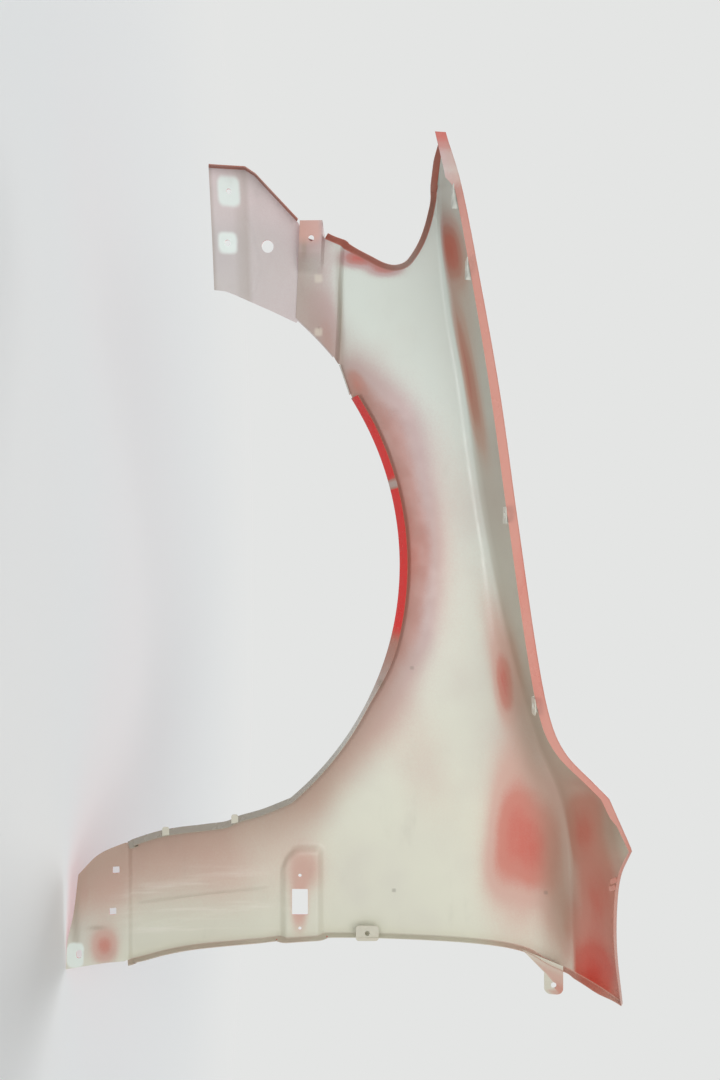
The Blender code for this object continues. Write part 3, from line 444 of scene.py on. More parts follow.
# The front flange below the headlamp cut, set inboard by a step, with a raised tab. The bumper
# bracket is spot-welded behind it, which leaves small round dimples.
FLANGE_STEP_WIDTH = 0.006
FLANGE_STEP_DEPTH = 0.008
FLANGE_END_Z = 0.280
FLANGE_TOP_SLOPE = 0.4
TAB_SIDE_Z = 0.308
TAB_SIDE_WIDTH = 0.003
TAB_TOP_X = 0.431
TAB_FLAT_X = 0.398
TAB_SLOPE = 0.027
TAB_LIFT = 0.010
FLANGE_LEVEL_STEPS = 5
WELD_DIMPLES = [(0.372, 0.3015), (0.306, 0.300)]
WELD_DIMPLE_RADIUS = 0.0055
WELD_DIMPLE_DEPTH = 0.0009
WELD_DIMPLE_FLOOR = 0.25
WELD_DIMPLE_RIM = 0.75
WELD_DIMPLE_END = 1.25
WELD_RIM_HEIGHT = 0.6


def beside_tab(z):
    """0 above the raised tab's side and 1 on the tab."""
    return ease(TAB_SIDE_Z + TAB_SIDE_WIDTH - z, 0.0, TAB_SIDE_WIDTH)


def weld_dimple(x, z):
    """A shallow round dimple with a faint rim, where the two sheets were welded."""
    depth = 0.0
    for centre_x, centre_z in WELD_DIMPLES:
        away = hypot(x - centre_x, z - centre_z) / WELD_DIMPLE_RADIUS
        risen = ease(away, WELD_DIMPLE_FLOOR, WELD_DIMPLE_RIM)
        rim = risen * (1 - ease(away, WELD_DIMPLE_RIM, WELD_DIMPLE_END)) * WELD_RIM_HEIGHT
        depth += WELD_DIMPLE_DEPTH * (rim - (1 - risen))
    return depth


def front_flange_sections(edge):
    """Rows of the front flange, from the step at the panel's front edge to its end."""
    top, foot = edge[0], edge[-1]
    base_z = LAMP_CUT[0][1] - FLANGE_STEP_WIDTH
    keys = [LAMP_CUT[0][1], base_z, mix(base_z, TAB_SIDE_Z, 0.5), TAB_SIDE_Z + TAB_SIDE_WIDTH,
            TAB_SIDE_Z, mix(TAB_SIDE_Z, FLANGE_END_Z, 0.5), FLANGE_END_Z]
    levels = [mix(a, b, step / FLANGE_LEVEL_STEPS) for a, b in zip(keys, keys[1:])
              for step in range(1, FLANGE_LEVEL_STEPS + 1)]
    rows = []
    for level in levels:
        drop = LAMP_CUT[0][1] - level
        top_x = mix(top.x + drop * FLANGE_TOP_SLOPE, TAB_TOP_X, beside_tab(level))
        foot_z = foot.z - drop
        foot_x = sqrt(FLANGE_EDGE_RADIUS ** 2 - foot_z ** 2)
        points = []
        for point in edge:
            share = (top.x - point.x) / (top.x - foot.x)
            x, z = mix(top_x, foot_x, share), point.z - drop
            lift = TAB_LIFT * beside_tab(level) * ease(x, TAB_FLAT_X - TAB_SLOPE, TAB_FLAT_X)
            step_down = FLANGE_STEP_DEPTH * ease(drop, 0.0, FLANGE_STEP_WIDTH)
            points.append(Vector((x, plain_depth(x, z) + step_down + lift + weld_dimple(x, z), z)))
        rows.append(points)
    return rows


flange_edge = [row[0] for row in upper_grid[:FRONT_ROWS + 1]]
flange_sections = front_flange_sections([vert.co.copy() for vert in flange_edge])
flange_grid = add_rows(sheet, flange_sections, flange_edge)


def face_outboard(bm, spot):
    """Turn all faces the same way, so that they point outboard at this vertex."""
    bmesh.ops.recalc_face_normals(bm, faces=bm.faces[:])
    bm.normal_update()
    if spot.normal.y > 0:
        bmesh.ops.reverse_faces(bm, faces=bm.faces[:])
        bm.normal_update()


face_outboard(sheet, skin_spot)


# The arch lip: the edge of the sheet folded round the arch and leaned over the panel, narrow
# ahead of the arch. Its painted face looks at the wheel, and is red in front and bare behind.
FOLD_RADIUS = 0.0015
FOLD_SHARE_OF_ROOM = 0.6
FOLD_STEPS = 4
FOLD_ROWS = 4
ARCH_LIP = 0.018
ARCH_LIP_LEAN = radians(38)
ARCH_LIP_LEAN_REAR = radians(12)
ARCH_LIP_CHANGE = radians(105)
ARCH_LIP_CHANGE_SPAN = radians(13)
ARCH_STUB_LIP = 0.007


def ways_away(chain):
    """Directions along the sheet that point out of the panel at its edge."""
    ways = []
    for index, vert in enumerate(chain):
        before, after = chain[max(index - 1, 0)], chain[min(index + 1, len(chain) - 1)]
        ways.append((after.co - before.co).cross(vert.normal).normalized())
    return ways


def turned_in(chain, depths, leans):
    """Ways inward from an edge, by one depth and lean or by a list of them. A lean above zero
    opens the flange away from the panel, and one below zero leans it over the panel."""
    if isinstance(depths, float):
        depths = [depths] * len(chain)
    if isinstance(leans, float):
        leans = [leans] * len(chain)
    return [depth * (away * sin(lean) - vert.normal * cos(lean))
            for vert, away, depth, lean in zip(chain, ways_away(chain), depths, leans)]


def bend_radius(vert, chain_verts):
    """The fold's radius, less where the mesh beside the edge is finer than the bend."""
    beside = [edge.other_vert(vert) for edge in vert.link_edges]
    room = [(other.co - vert.co).length for other in beside if other not in chain_verts]
    return min([FOLD_RADIUS] + [FOLD_SHARE_OF_ROOM * length for length in room])


def fold_edge(bm, chain, offsets):
    """Fold a flange from an edge of the sheet with a round bend, each vertex going its own
    way, and return its rows of vertices."""
    chain_verts = set(chain)
    radii = [bend_radius(vert, chain_verts) for vert in chain]
    peaks = [vert.co.copy() for vert in chain]
    starts = [peak - away * radius for peak, away, radius in zip(peaks, ways_away(chain), radii)]
    bends = [peak + offset.normalized() * radius
             for peak, offset, radius in zip(peaks, offsets, radii)]
    row, rows = chain, []
    for step in range(1, FOLD_STEPS + 1):
        points = [corner(*ends, step / FOLD_STEPS) for ends in zip(starts, peaks, bends)]
        rows.append([bm.verts.new(point) for point in points])
        join_chains(bm, rows[-1], row)
        row = rows[-1]
    for vert, start in zip(chain, starts):
        vert.co = start
    for step in range(1, FOLD_ROWS + 1):
        points = [mix(bend, peak + offset, step / FOLD_ROWS)
                  for bend, peak, offset in zip(bends, peaks, offsets)]
        rows.append([bm.verts.new(point) for point in points])
        join_chains(bm, rows[-1], row)
        row = rows[-1]
    return rows


arch = [row[0] for row in upper_grid[FRONT_ROWS:FRONT_ROWS + ARCH_ROWS] + leg_grid][::-1]
stub = [vert for vert in arch if vert.co.x > ARCH_LIP_FRONT_X]
stub_rows = fold_edge(sheet, stub, turned_in(stub, ARCH_STUB_LIP, -ARCH_LIP_LEAN_REAR))
arch = [vert for vert in arch if vert.co.x < ARCH_LIP_FRONT_X and vert.co.z > SILL_STEP_Z]
leans = []
for vert in arch:
    angle = atan2(vert.co.z, vert.co.x)
    rear = ease(angle, ARCH_LIP_CHANGE, ARCH_LIP_CHANGE + ARCH_LIP_CHANGE_SPAN)
    leans.append(-mix(ARCH_LIP_LEAN, ARCH_LIP_LEAN_REAR, rear))
lip_rows = fold_edge(sheet, arch, turned_in(arch, ARCH_LIP, leans))


# The headlamp flange: a narrow edge folded open along the headlamp cut and hung down along
# the spike.
LAMP_FLANGE = 0.011
LAMP_FLANGE_LEAN = radians(30)
SPIKE_FLANGE = [(0.446, 0.009), (0.488, 0.008), (0.503, 0.004)]
TAB_EDGE_ROW = 3 * FLANGE_LEVEL_STEPS
LAMP_FLANGE_EASING = 12

spike_flange = straight_curve(SPIKE_FLANGE)


def evened(ways, times):
    """The ways of a fold, each drawn towards its neighbours so many times over."""
    for _ in range(times):
        ways = [mix(mix(before, after, 0.5), way, 0.5)
                for before, way, after in zip(ways[:1] + ways[:-1], ways, ways[1:] + ways[-1:])]
    return ways


lamp_side = [row[0] for row in flange_grid[TAB_EDGE_ROW::-1]]
lamp_side += upper_grid[0][1:SIDE_COLUMNS + 1] + [row[0] for row in spike_grid[::-1]]
offsets = evened(turned_in(lamp_side, LAMP_FLANGE, LAMP_FLANGE_LEAN), LAMP_FLANGE_EASING)
for index, vert in enumerate(lamp_side):
    hanging = Vector((0, 0, -spike_flange(vert.co.x)))
    on_spike = ease(vert.co.x, SPIKE_FLANGE[0][0], LAMP_CUT[-1][0])
    offsets[index] = mix(offsets[index], hanging, on_spike)
lamp_rows = fold_edge(sheet, lamp_side, offsets)


# The wall beside the hood, cowl and pillar, and the flange at the door: the rest of the rim,
# folded in.
EDGE_WALL = [(-0.556, 0.005), (-0.338, 0.005), (-0.310, 0.006), (-0.300, 0.010),
             (-0.200, 0.0125), (0.200, 0.0120), (0.444, 0.009), (0.454, 0.017), (0.502, 0.012)]
EDGE_WALL_SLOPE = 0.15
DOOR_FLANGE = 0.013
TAIL_BLEND = 0.03

edge_wall = straight_curve(EDGE_WALL)


def wall_drop(x):
    """The way from the top edge to the foot of its wall."""
    height = edge_wall(x)
    return Vector((0, EDGE_WALL_SLOPE * height, -height))


top_side = [row[-1] for row in spike_grid + upper_grid]
door_side = upper_grid[-1][:-1][::-1] + [row[-1] for row in leg_grid[1:]]
door_side = [vert for vert in door_side if vert.co.z > SILL_STEP_Z]
depths = [edge_wall(vert.co.x) for vert in top_side]
depths += [mix(depths[-1], DOOR_FLANGE, ease(top_side[-1].co.z - vert.co.z, 0.0, TAIL_BLEND))
           for vert in door_side]
rim = top_side + door_side
offsets = turned_in(rim, depths, 0.0)
for index, vert in enumerate(top_side):
    beside_hood = ease(vert.co.x, COWL_EDGE[0][0], COWL_EDGE[1][0])
    offsets[index] = mix(offsets[index], wall_drop(vert.co.x), beside_hood)
rim_rows = fold_edge(sheet, rim, offsets)
wall_verts = {vert for row in rim_rows for vert in row[:len(top_side)]}
door_verts = {vert for row in rim_rows for vert in row[len(top_side):]}
face_outboard(sheet, skin_spot)


# The overspray: red mist from painting the outside, which drifted over the primed inside. It
# lies in soft patches, as it fell from inboard, each given by its middle, half length, half
# width, slant and strength. Some patches reach only the underside of the top.
SPRAY_FROM = (0.033, 1.2, 0.355)
SIDE_MIST = [
    (-0.160, 0.5475, 0.046, 0.013, 0.10, 0.68),
    (0.200, 0.405, 0.100, 0.060, 0.5, 0.14),
    (-0.405, 0.282, 0.034, 0.028, 0.0, 0.22),
    (-0.365, 0.562, 0.078, 0.040, -0.20, 0.44),
    (-0.350, 0.575, 0.200, 0.062, 0.0, 0.28),
    (-0.130, 0.548, 0.110, 0.026, 0.2, 0.28),
    (-0.340, 0.552, 0.100, 0.030, -0.10, 0.20),
    (-0.385, 0.590, 0.064, 0.028, 0.0, 0.54),
    (0.295, 0.312, 0.045, 0.018, 0.0, 0.26),
    (0.243, 0.350, 0.022, 0.013, 0.4, 0.42),
    (-0.509, 0.0145, 0.027, 0.021, 0.0, 0.46),
    (-0.456, 0.274, 0.040, 0.013, 0.0, 0.32),
    (-0.400, 0.120, 0.085, 0.220, 0.0, 0.17),
    (-0.445, 0.015, 0.055, 0.045, 0.0, 0.10),
    (-0.410, 0.617, 0.125, 0.022, 0.0, 0.34),
    (-0.480, 0.634, 0.060, 0.014, 0.0, 0.42),
    (0.445, 0.290, 0.040, 0.040, 0.0, 0.30),
    (0.345, 0.308, 0.045, 0.026, 0.0, 0.16),
    (0.398, 0.310, 0.032, 0.020, 0.0, 0.13),
    (0.409, 0.352, 0.014, 0.026, 0.0, 0.78),
    (0.397, 0.388, 0.014, 0.028, 0.0, 0.64),
    (0.000, 0.455, 0.230, 0.090, 0.0, 0.09),
    (-0.230, 0.420, 0.150, 0.060, 0.4, 0.10),
]
TOP_MIST = [
    (0.418, 0.476, 0.046, 0.018, 0.16, 0.94),
    (0.252, 0.4990, 0.110, 0.0115, 0.20, 0.74),
    (0.360, 0.490, 0.150, 0.030, 0.15, 0.14),
    (-0.345, 0.656, 0.070, 0.038, 0.0, 0.72),
    (-0.440, 0.674, 0.080, 0.042, 0.0, 0.66),
    (-0.550, 0.662, 0.086, 0.060, 0.0, 0.95),
    (-0.150, 0.560, 0.060, 0.010, 0.1, 0.25),
]
ARCH_MIST = [(50, 0.20), (60, 0.58), (75, 0.80), (90, 0.82), (102, 0.68), (112, 0.40),
             (125, 0.28), (150, 0.15), (180, 0.13)]
ARCH_MIST_WIDTH = 0.088
ARCH_GRIME = 0.50
ARCH_GRIME_WIDTH = 0.085
TOP_COAT_ON_LIP = [(40, 0.10), (56.5, 0.12), (57.6, 0.95), (73.9, 0.95), (74.4, 0.30),
                   (75.4, 0.30), (75.9, 0.95), (101, 0.95), (107, 0.55), (114, 0.18),
                   (126, 0.08), (180, 0.10)]
# The coat on the wall; where it thins just behind the spike's tip, the paler wall is painted
# highlight.
TOP_COAT_AND_HIGHLIGHT_ON_WALL = [(-0.56, 0.34), (-0.52, 0.38), (-0.35, 0.46), (-0.30, 0.55), (-0.10, 0.60),
                    (0.20, 0.58), (0.40, 0.52), (0.44, 0.54), (0.462, 0.20), (0.480, 0.36),
                    (0.495, 0.68), (0.502, 0.70)]
LAMP_FLANGE_MIST = [(0.33, 0.80), (0.38, 0.66), (0.40, 0.45), (0.42, 0.40), (0.44, 0.62),
                    (0.46, 0.85), (0.51, 0.9)]
DOOR_FLANGE_MIST = [(0.05, 0.16), (0.22, 0.14), (0.30, 0.10), (0.35, 0.03), (0.50, 0.05),
                    (0.58, 0.26), (0.63, 0.40)]
MIST_KEPT_ON_WALL = 0.5
MIST_KEPT_ON_DOOR_FLANGE = 0.6

# Old dust and painted shade, in the same terms as the mist: painted shade on the underside of
# the top, beside the rear of the shoulder crease, along the flange's step and in broad faint
# patches, and dark marks in two notches of the arch lip and on the foot of the leg.
# The underside of the top is laid darker: old dust and painted shade.
TOP_DUST_AND_SHADE = [(-0.56, 0.10), (-0.42, 0.26), (-0.30, 0.46), (0.0, 0.56), (0.25, 0.54),
             (0.44, 0.44), (0.502, 0.40)]
# Patches of old dust and painted shade; the bands beside the rear of the crease and along the
# flange's step, and the broad faint patches, are painted shade.
DUST_AND_SHADE_PATCHES = [
    (-0.410, 0.618, 0.160, 0.028, 0.0, 0.66),
    (-0.215, 0.578, 0.150, 0.026, 0.22, 0.58),
    (-0.470, 0.629, 0.070, 0.016, 0.0, 0.48),
    (0.330, 0.3290, 0.095, 0.0048, 0.02, 0.62),
    (-0.430, 0.090, 0.080, 0.170, 0.0, 0.12),
    (-0.150, 0.470, 0.260, 0.120, 0.0, 0.09),
    (0.320, 0.400, 0.120, 0.110, 0.0, 0.10),
    (-0.405, 0.282, 0.030, 0.026, 0.0, 0.12),
    (0.372, 0.325, 0.060, 0.004, 0.0, 0.20),
    (-0.350, 0.692, 0.060, 0.024, 0.0, 0.55),
    (0.222, 0.3485, 0.006, 0.006, 0.0, 0.90),
    (-0.159, 0.383, 0.006, 0.004, 0.0, 0.80),
    (-0.484, 0.004, 0.0035, 0.014, 0.0, 0.45),
    (-0.480, -0.024, 0.060, 0.006, 0.0, 0.45),
    (0.425, 0.2805, 0.018, 0.004, 0.0, 0.50),
    (0.386, 0.291, 0.012, 0.018, 0.0, 0.10),
]
PATCH_FALL = 1.7
PATCH_SQUARENESS = 2.3
# The lip along the leg is laid darker.
LEG_LIP_DARKENING = 0.80
LEG_LIP_FROM = 112
LEG_LIP_TO = 135
# Painted shade on the headlamp flange.
LAMP_FLANGE_SHADE = 0.42
# Painted shade on the door flange, for the dark line along its edge.
DOOR_FLANGE_SHADE = 0.26
# How much of the dust and painted shade stays on the wall.
DUST_AND_SHADE_KEPT_ON_WALL = 0.3
CREASE_EDGE = 0.006
NEAR_LEG_BELOW = 0.07
NEAR_LEG_ABOVE = 0.02
NEAR_ARCH_FALL = 1.5

arch_mist = straight_curve(ARCH_MIST)
top_coat_on_lip = straight_curve(TOP_COAT_ON_LIP)
top_coat_and_highlight_on_wall = straight_curve(TOP_COAT_AND_HIGHLIGHT_ON_WALL)
lamp_flange_mist = straight_curve(LAMP_FLANGE_MIST)
door_flange_mist = straight_curve(DOOR_FLANGE_MIST)
top_dust_and_shade = straight_curve(TOP_DUST_AND_SHADE)


def degrees_round_arch(point):
    """Where a point lies round the arch, from straight ahead over the top."""
    return atan2(point.z, point.x) * 180 / pi


def patches_at(point, patches):
    """How much of these patches lies here, from 0 to 1."""
    toward = SPRAY_FROM[1] / (SPRAY_FROM[1] - point.y)
    x = mix(SPRAY_FROM[0], point.x, toward)
    z = mix(SPRAY_FROM[2], point.z, toward)
    clear = 1.0
    for middle_x, middle_z, half_length, half_width, slant, strength in patches:
        along = abs(x - middle_x) / half_length
        across = abs(z - middle_z + slant * (x - middle_x)) / half_width
        away = along ** PATCH_SQUARENESS + across ** PATCH_SQUARENESS
        clear *= 1 - strength * exp(-PATCH_FALL * away)
    return 1 - clear


def on_top(point):
    """1 on the top beyond the shoulder crease and 0 on the side."""
    return ease(point.z - crease_z(min(point.x, CREASE[-1][0])), 0.0, CREASE_EDGE)


def near_arch(point, width):
    """1 at the arch's edge, falling to 0 this far from it."""
    start_z = arch_z(ARCH_REAR_X)
    from_circle = max(hypot(point.x, point.z) - ARCH_RADIUS, 0.0)
    from_leg_edge = (leg_edge_x(min(point.z, start_z)) - point.x) * sin(ARCH_REAR_ANGLE)
    round_arch = ease(point.z, start_z - NEAR_LEG_BELOW, start_z + NEAR_LEG_ABOVE)
    gap = mix(max(from_leg_edge, 0.0), from_circle, round_arch)
    return (1 - ease(gap, 0.0, width)) ** NEAR_ARCH_FALL


def spray_at(point):
    """How much red mist lies on the inside here, from 0 to 1."""
    band = 1 - arch_mist(degrees_round_arch(point)) * near_arch(point, ARCH_MIST_WIDTH)
    clear = (1 - patches_at(point, SIDE_MIST)) * band
    return 1 - clear * (1 - patches_at(point, TOP_MIST) * on_top(point))


def dust_and_shade_at(point):
    """How much old dust and painted shade lies on the inside here, from 0 to 1."""
    band = 1 - ARCH_GRIME * near_arch(point, ARCH_GRIME_WIDTH)
    clear = (1 - patches_at(point, DUST_AND_SHADE_PATCHES)) * band
    return 1 - clear * (1 - top_dust_and_shade(point.x) * on_top(point))


for vert in sheet.verts:
    vert[spray] = spray_at(vert.co)
    vert[dust_and_shade] = dust_and_shade_at(vert.co)
    vert[top_coat] = 1.0
for row in stub_rows + lip_rows:
    for vert in row:
        degrees = degrees_round_arch(vert.co)
        vert[top_coat] = top_coat_on_lip(degrees)
        vert[spray] = vert[top_coat]
        on_leg = ease(degrees, LEG_LIP_FROM, LEG_LIP_TO)
        vert[dust_and_shade] = max(vert[dust_and_shade], LEG_LIP_DARKENING * on_leg)
for row in lamp_rows:
    for vert in row:
        vert[spray] = lamp_flange_mist(vert.co.z)
        vert[dust_and_shade] = LAMP_FLANGE_SHADE
for vert in wall_verts:
    vert[top_coat] = top_coat_and_highlight_on_wall(vert.co.x)
    vert[spray] = mix(vert[top_coat], vert[spray], MIST_KEPT_ON_WALL)
    vert[dust_and_shade] *= DUST_AND_SHADE_KEPT_ON_WALL
for vert in door_verts:
    vert[spray] = max(door_flange_mist(vert.co.z), MIST_KEPT_ON_DOOR_FLANGE * vert[spray])
    vert[dust_and_shade] = DOOR_FLANGE_SHADE


# Thickness and holes: the sheet is 0.8 mm thick, and its holes are punched after pressing, for
# the side lamp, its two screws, the sill clips, the leg's screw and the front tab's screw.
LAMP_HOLE_CENTRE = (-0.446, 0.2755)
LAMP_HOLE_LENGTH = 0.034
LAMP_HOLE_HEIGHT = 0.021
LAMP_HOLE_CORNER = 0.0012
LAMP_SCREW_HOLE = 0.0045
LAMP_SCREW_PITCH = 0.070
CLIP_HOLES = [(-0.399, 0.0355), (-0.453, 0.0315)]
CLIP_HOLE_SIDE = 0.0085
LEG_SCREW = (-0.505, -0.010)
LEG_SCREW_WIDTH = 0.0065
LEG_SCREW_LENGTH = 0.0105
LEG_SCREW_CORNER = 0.00315
TAB_HOLE = 0.007
TAB_HOLE_X = 0.411
HOLE_SIDES = 32
PUNCH_DEPTH = 0.012


def rounded_outline(centre, width, height, radius, steps=5):
    """Plane points round a rectangle with round corners."""
    points = []
    for quarter, (side_x, side_z) in enumerate(((1, 1), (-1, 1), (-1, -1), (1, -1))):
        corner_x = centre[0] + side_x * (width / 2 - radius)
        corner_z = centre[1] + side_z * (height / 2 - radius)
        for step in range(steps + 1):
            angle = (quarter + step / steps) * pi / 2
            points.append((corner_x + radius * cos(angle), corner_z + radius * sin(angle)))
    return points


def add_punch(bm, outline, y):
    """A punch along Y with this outline, added to a mesh of punches."""
    face = bm.faces.new([bm.verts.new((x, y - PUNCH_DEPTH / 2, z)) for x, z in outline])
    made = bmesh.ops.extrude_face_region(bm, geom=[face])["geom"]
    moved = [item for item in made if isinstance(item, bmesh.types.BMVert)]
    bmesh.ops.translate(bm, vec=(0, PUNCH_DEPTH, 0), verts=moved)


def round_outline(centre, diameter):
    """Plane points round a drilled hole."""
    return [(centre[0] + diameter / 2 * cos(2 * pi * i / HOLE_SIDES),
             centre[1] + diameter / 2 * sin(2 * pi * i / HOLE_SIDES)) for i in range(HOLE_SIDES)]


def put_in_scene(name, data):
    """An object of this name and data, linked to the scene."""
    made = bpy.data.objects.new(name, data)
    bpy.context.scene.collection.objects.link(made)
    return made


def mesh_object(name, bm):
    """An object of this mesh, which is used up."""
    mesh = bpy.data.meshes.new(name)
    bm.to_mesh(mesh)
    bm.free()
    return put_in_scene(name, mesh)


def settle(obj):
    """Keep what the modifiers make as the object's own mesh."""
    bpy.context.view_layer.update()
    evaluated = obj.evaluated_get(bpy.context.evaluated_depsgraph_get())
    shaped = bpy.data.meshes.new_from_object(evaluated)
    obj.modifiers.clear()
    obj.data = shaped


def punched(obj, punches):
    """Cut the punches from an object, and keep the result as a plain mesh."""
    bmesh.ops.recalc_face_normals(punches, faces=punches.faces[:])
    tool = mesh_object("punches", punches)
    cut = obj.modifiers.new("punched holes", "BOOLEAN")
    cut.solver = "EXACT"
    cut.object = tool
    settle(obj)
    bpy.data.objects.remove(tool)


def thicken(obj, thickness, offset, inside=0):
    """Give an open sheet its thickness. Its inner side and cut edge take the material this
    far on in its list."""
    solidify = obj.modifiers.new("sheet thickness", "SOLIDIFY")
    solidify.thickness = thickness
    solidify.offset = offset
    solidify.use_quality_normals = True
    solidify.material_offset = inside
    solidify.material_offset_rim = inside


def held_finish(bm):
    """The finish at each vertex of a mesh, as its place and the values of its three layers."""
    layers = finish_layers(bm)
    return [(vert.co.copy(), *[vert[layer] for layer in layers]) for vert in bm.verts]


sheet_finish = held_finish(sheet)
painted_side = bpy.data.materials.new("painted side")
primer_side = bpy.data.materials.new("primer side")
fender = mesh_object("fender_pressing", sheet)
fender.data.materials.append(painted_side)
fender.data.materials.append(primer_side)
thicken(fender, SHEET, 1, inside=1)
settle(fender)

lamp_x, lamp_z = LAMP_HOLE_CENTRE
leg_holes = [(LAMP_HOLE_CENTRE, rounded_outline(LAMP_HOLE_CENTRE, LAMP_HOLE_LENGTH,
                                                LAMP_HOLE_HEIGHT, LAMP_HOLE_CORNER))]
for centre in [(lamp_x + side * LAMP_SCREW_PITCH / 2, lamp_z) for side in (-1, 1)]:
    leg_holes.append((centre, round_outline(centre, LAMP_SCREW_HOLE)))
for centre in CLIP_HOLES:
    leg_holes.append((centre, rounded_outline(centre, CLIP_HOLE_SIDE, CLIP_HOLE_SIDE,
                                              LAMP_HOLE_CORNER)))
leg_holes.append((LEG_SCREW, rounded_outline(LEG_SCREW, LEG_SCREW_LENGTH, LEG_SCREW_WIDTH,
                                             LEG_SCREW_CORNER)))
punches = bmesh.new()
for centre, outline in leg_holes:
    add_punch(punches, outline, leg_point(*centre).y)
tab_z = (TAB_SIDE_Z + FLANGE_END_Z) / 2
tab_y = plain_depth(TAB_HOLE_X, tab_z) + FLANGE_STEP_DEPTH + TAB_LIFT
add_punch(punches, round_outline((TAB_HOLE_X, tab_z), TAB_HOLE), tab_y)
punched(fender, punches)


# The small tabs, pressed from the same sheet: four bolt tabs under the hood edge, the door
# tab, the pillar ear with its gusset, the liner's two ears and the cowl seal's two hooks.
TAB_COLUMNS = 8
HOOD_TABS_X = [-0.168, 0.063, 0.352, 0.431]
HOOD_TAB_LENGTH = 0.020
HOOD_TAB_REACH = 0.024
HOOD_TAB_DROP = 0.004
HOOD_TAB_LAP = 0.003
HOOD_TAB_HOLE = 0.008
HOOD_TAB_PUNCH_DEPTH = 0.004
HOOD_TAB_CORNER = 0.005
HOOD_TAB_BEND = 0.0022
DOOR_TAB_Z = 0.3645
DOOR_TAB_WIDTH = 0.030
DOOR_TAB_IN = 0.015
DOOR_TAB_OUT = 0.005
DOOR_TAB_LAP = 0.001
DOOR_TAB_HOLE = 0.0065
DOOR_TAB_CORNER = 0.004
EAR_Z = 0.6055
EAR_WIDTH = 0.024
EAR_REACH = 0.037
EAR_HOLE = 0.007
EAR_CORNER = 0.008
EAR_GUSSET_REACH = 0.009
EAR_GUSSET_LENGTH = 0.028
LINER_EARS_Z = [0.101, 0.190]
LINER_EAR_WIDTH = 0.009
LINER_EAR_REACH = 0.008
LINER_EAR_SUNK = 1.5 * SHEET
SEAL_HOOKS_X = [-0.387, -0.377]
SEAL_HOOK_WIDTH = 0.006
SEAL_HOOK_TOP = 0.002
SEAL_HOOK_LENGTH = 0.014
SEAL_HOOK_SLOPE = 0.52

tabs = bmesh.new()


def hood_tab_ends(x):
    """The feet of the wall at a bolt tab's two ends."""
    ends = (x - HOOD_TAB_LENGTH / 2, x + HOOD_TAB_LENGTH / 2)
    return [top_edge(end) + wall_drop(end) for end in ends]


def hood_tab_seat(x):
    """Centre of a bolt tab's hole on its level underside, just below the wall."""
    rear, front = hood_tab_ends(x)
    y = (rear.y + front.y) / 2 + HOOD_TAB_REACH / 2
    return Vector((x, y, min(rear.z, front.z) - HOOD_TAB_DROP))


def tab_line(points, corner_radius, half_width, steps=10):
    """Stations of a tab towards its free end, as (point, half width), the corners rounded."""
    stations = [(point, half_width) for point in points[:-1]]
    last, end = points[-2], points[-1]
    length = (end - last).length
    start = 1 - corner_radius / length
    stations.append((mix(last, end, start), half_width))
    for step in range(1, steps + 1):
        turn = step / steps * pi / 2
        point = mix(last, end, start + (1 - start) * sin(turn))
        stations.append((point, half_width - corner_radius * (1 - cos(turn))))
    return stations


def add_tab(stations, across):
    """Add a tab by its stations, with its width along this way."""
    rows = []
    for point, half_width in stations:
        rows.append([point + across * half_width * mix(-1, 1, i / TAB_COLUMNS)
                     for i in range(TAB_COLUMNS + 1)])
    add_rows(tabs, rows)


for x in HOOD_TABS_X:
    seat, (rear, front) = hood_tab_seat(x), hood_tab_ends(x)
    along_wall = Vector((1, (front.y - rear.y) / HOOD_TAB_LENGTH, 0))
    root_y = seat.y - HOOD_TAB_REACH / 2 - SHEET / 2
    level = seat.z + SHEET / 2
    bend = [Vector((x, root_y, level + HOOD_TAB_BEND)), Vector((x, root_y, level)),
            Vector((x, root_y + HOOD_TAB_BEND, level))]
    top_z = max(rear.z, front.z) + HOOD_TAB_LAP
    line = [Vector((x, root_y - EDGE_WALL_SLOPE * (top_z - level) - SHEET / 2, top_z))]
    line += [corner(*bend, step / FOLD_STEPS) for step in range(FOLD_STEPS + 1)]
    line.append(Vector((x, root_y + SHEET / 2 + HOOD_TAB_REACH, level)))
    add_tab(tab_line(line, HOOD_TAB_CORNER, HOOD_TAB_LENGTH / 2), along_wall)


def door_flange_end(z):
    """How far inboard the door flange ends, less the thickness of what is turned from it."""
    return leg_point(door_x(z), z).y + DOOR_FLANGE - SHEET


door_tab_y = door_flange_end(DOOR_TAB_Z) - SHEET / 2
door_tab_x = door_x(DOOR_TAB_Z)
for reach in (DOOR_TAB_IN, -DOOR_TAB_OUT):
    line = [Vector((door_tab_x + out, door_tab_y, DOOR_TAB_Z)) for out in (DOOR_TAB_LAP, reach)]
    add_tab(tab_line(line, DOOR_TAB_CORNER, DOOR_TAB_WIDTH / 2), Vector((0, 0, 1)))

for z in LINER_EARS_Z:
    x = leg_edge_x(z)
    y = leg_point(x, z).y + ARCH_LIP * cos(ARCH_LIP_LEAN_REAR) - LINER_EAR_SUNK
    reaches = (-ARCH_LIP * sin(ARCH_LIP_LEAN_REAR), LINER_EAR_REACH)
    line = [Vector((x + reach, y, z)) for reach in reaches]
    add_tab(tab_line(line, LINER_EAR_WIDTH / 3, LINER_EAR_WIDTH / 2), Vector((0, 0, 1)))

for x in SEAL_HOOKS_X:
    edge = top_edge(x)
    start = Vector((x, edge.y, edge.z - SEAL_HOOK_TOP))
    end = Vector((x, edge.y + SEAL_HOOK_SLOPE * SEAL_HOOK_LENGTH, edge.z - SEAL_HOOK_LENGTH))
    add_tab(tab_line([start, end], SEAL_HOOK_WIDTH / 3, SEAL_HOOK_WIDTH / 2), Vector((1, 0, 0)))


def arc(centre, radius, start, end, steps=6):
    """Plane points along an arc."""
    angles = [mix(start, end, step / steps) for step in range(steps + 1)]
    return [(centre[0] + radius * cos(angle), centre[1] + radius * sin(angle)) for angle in angles]


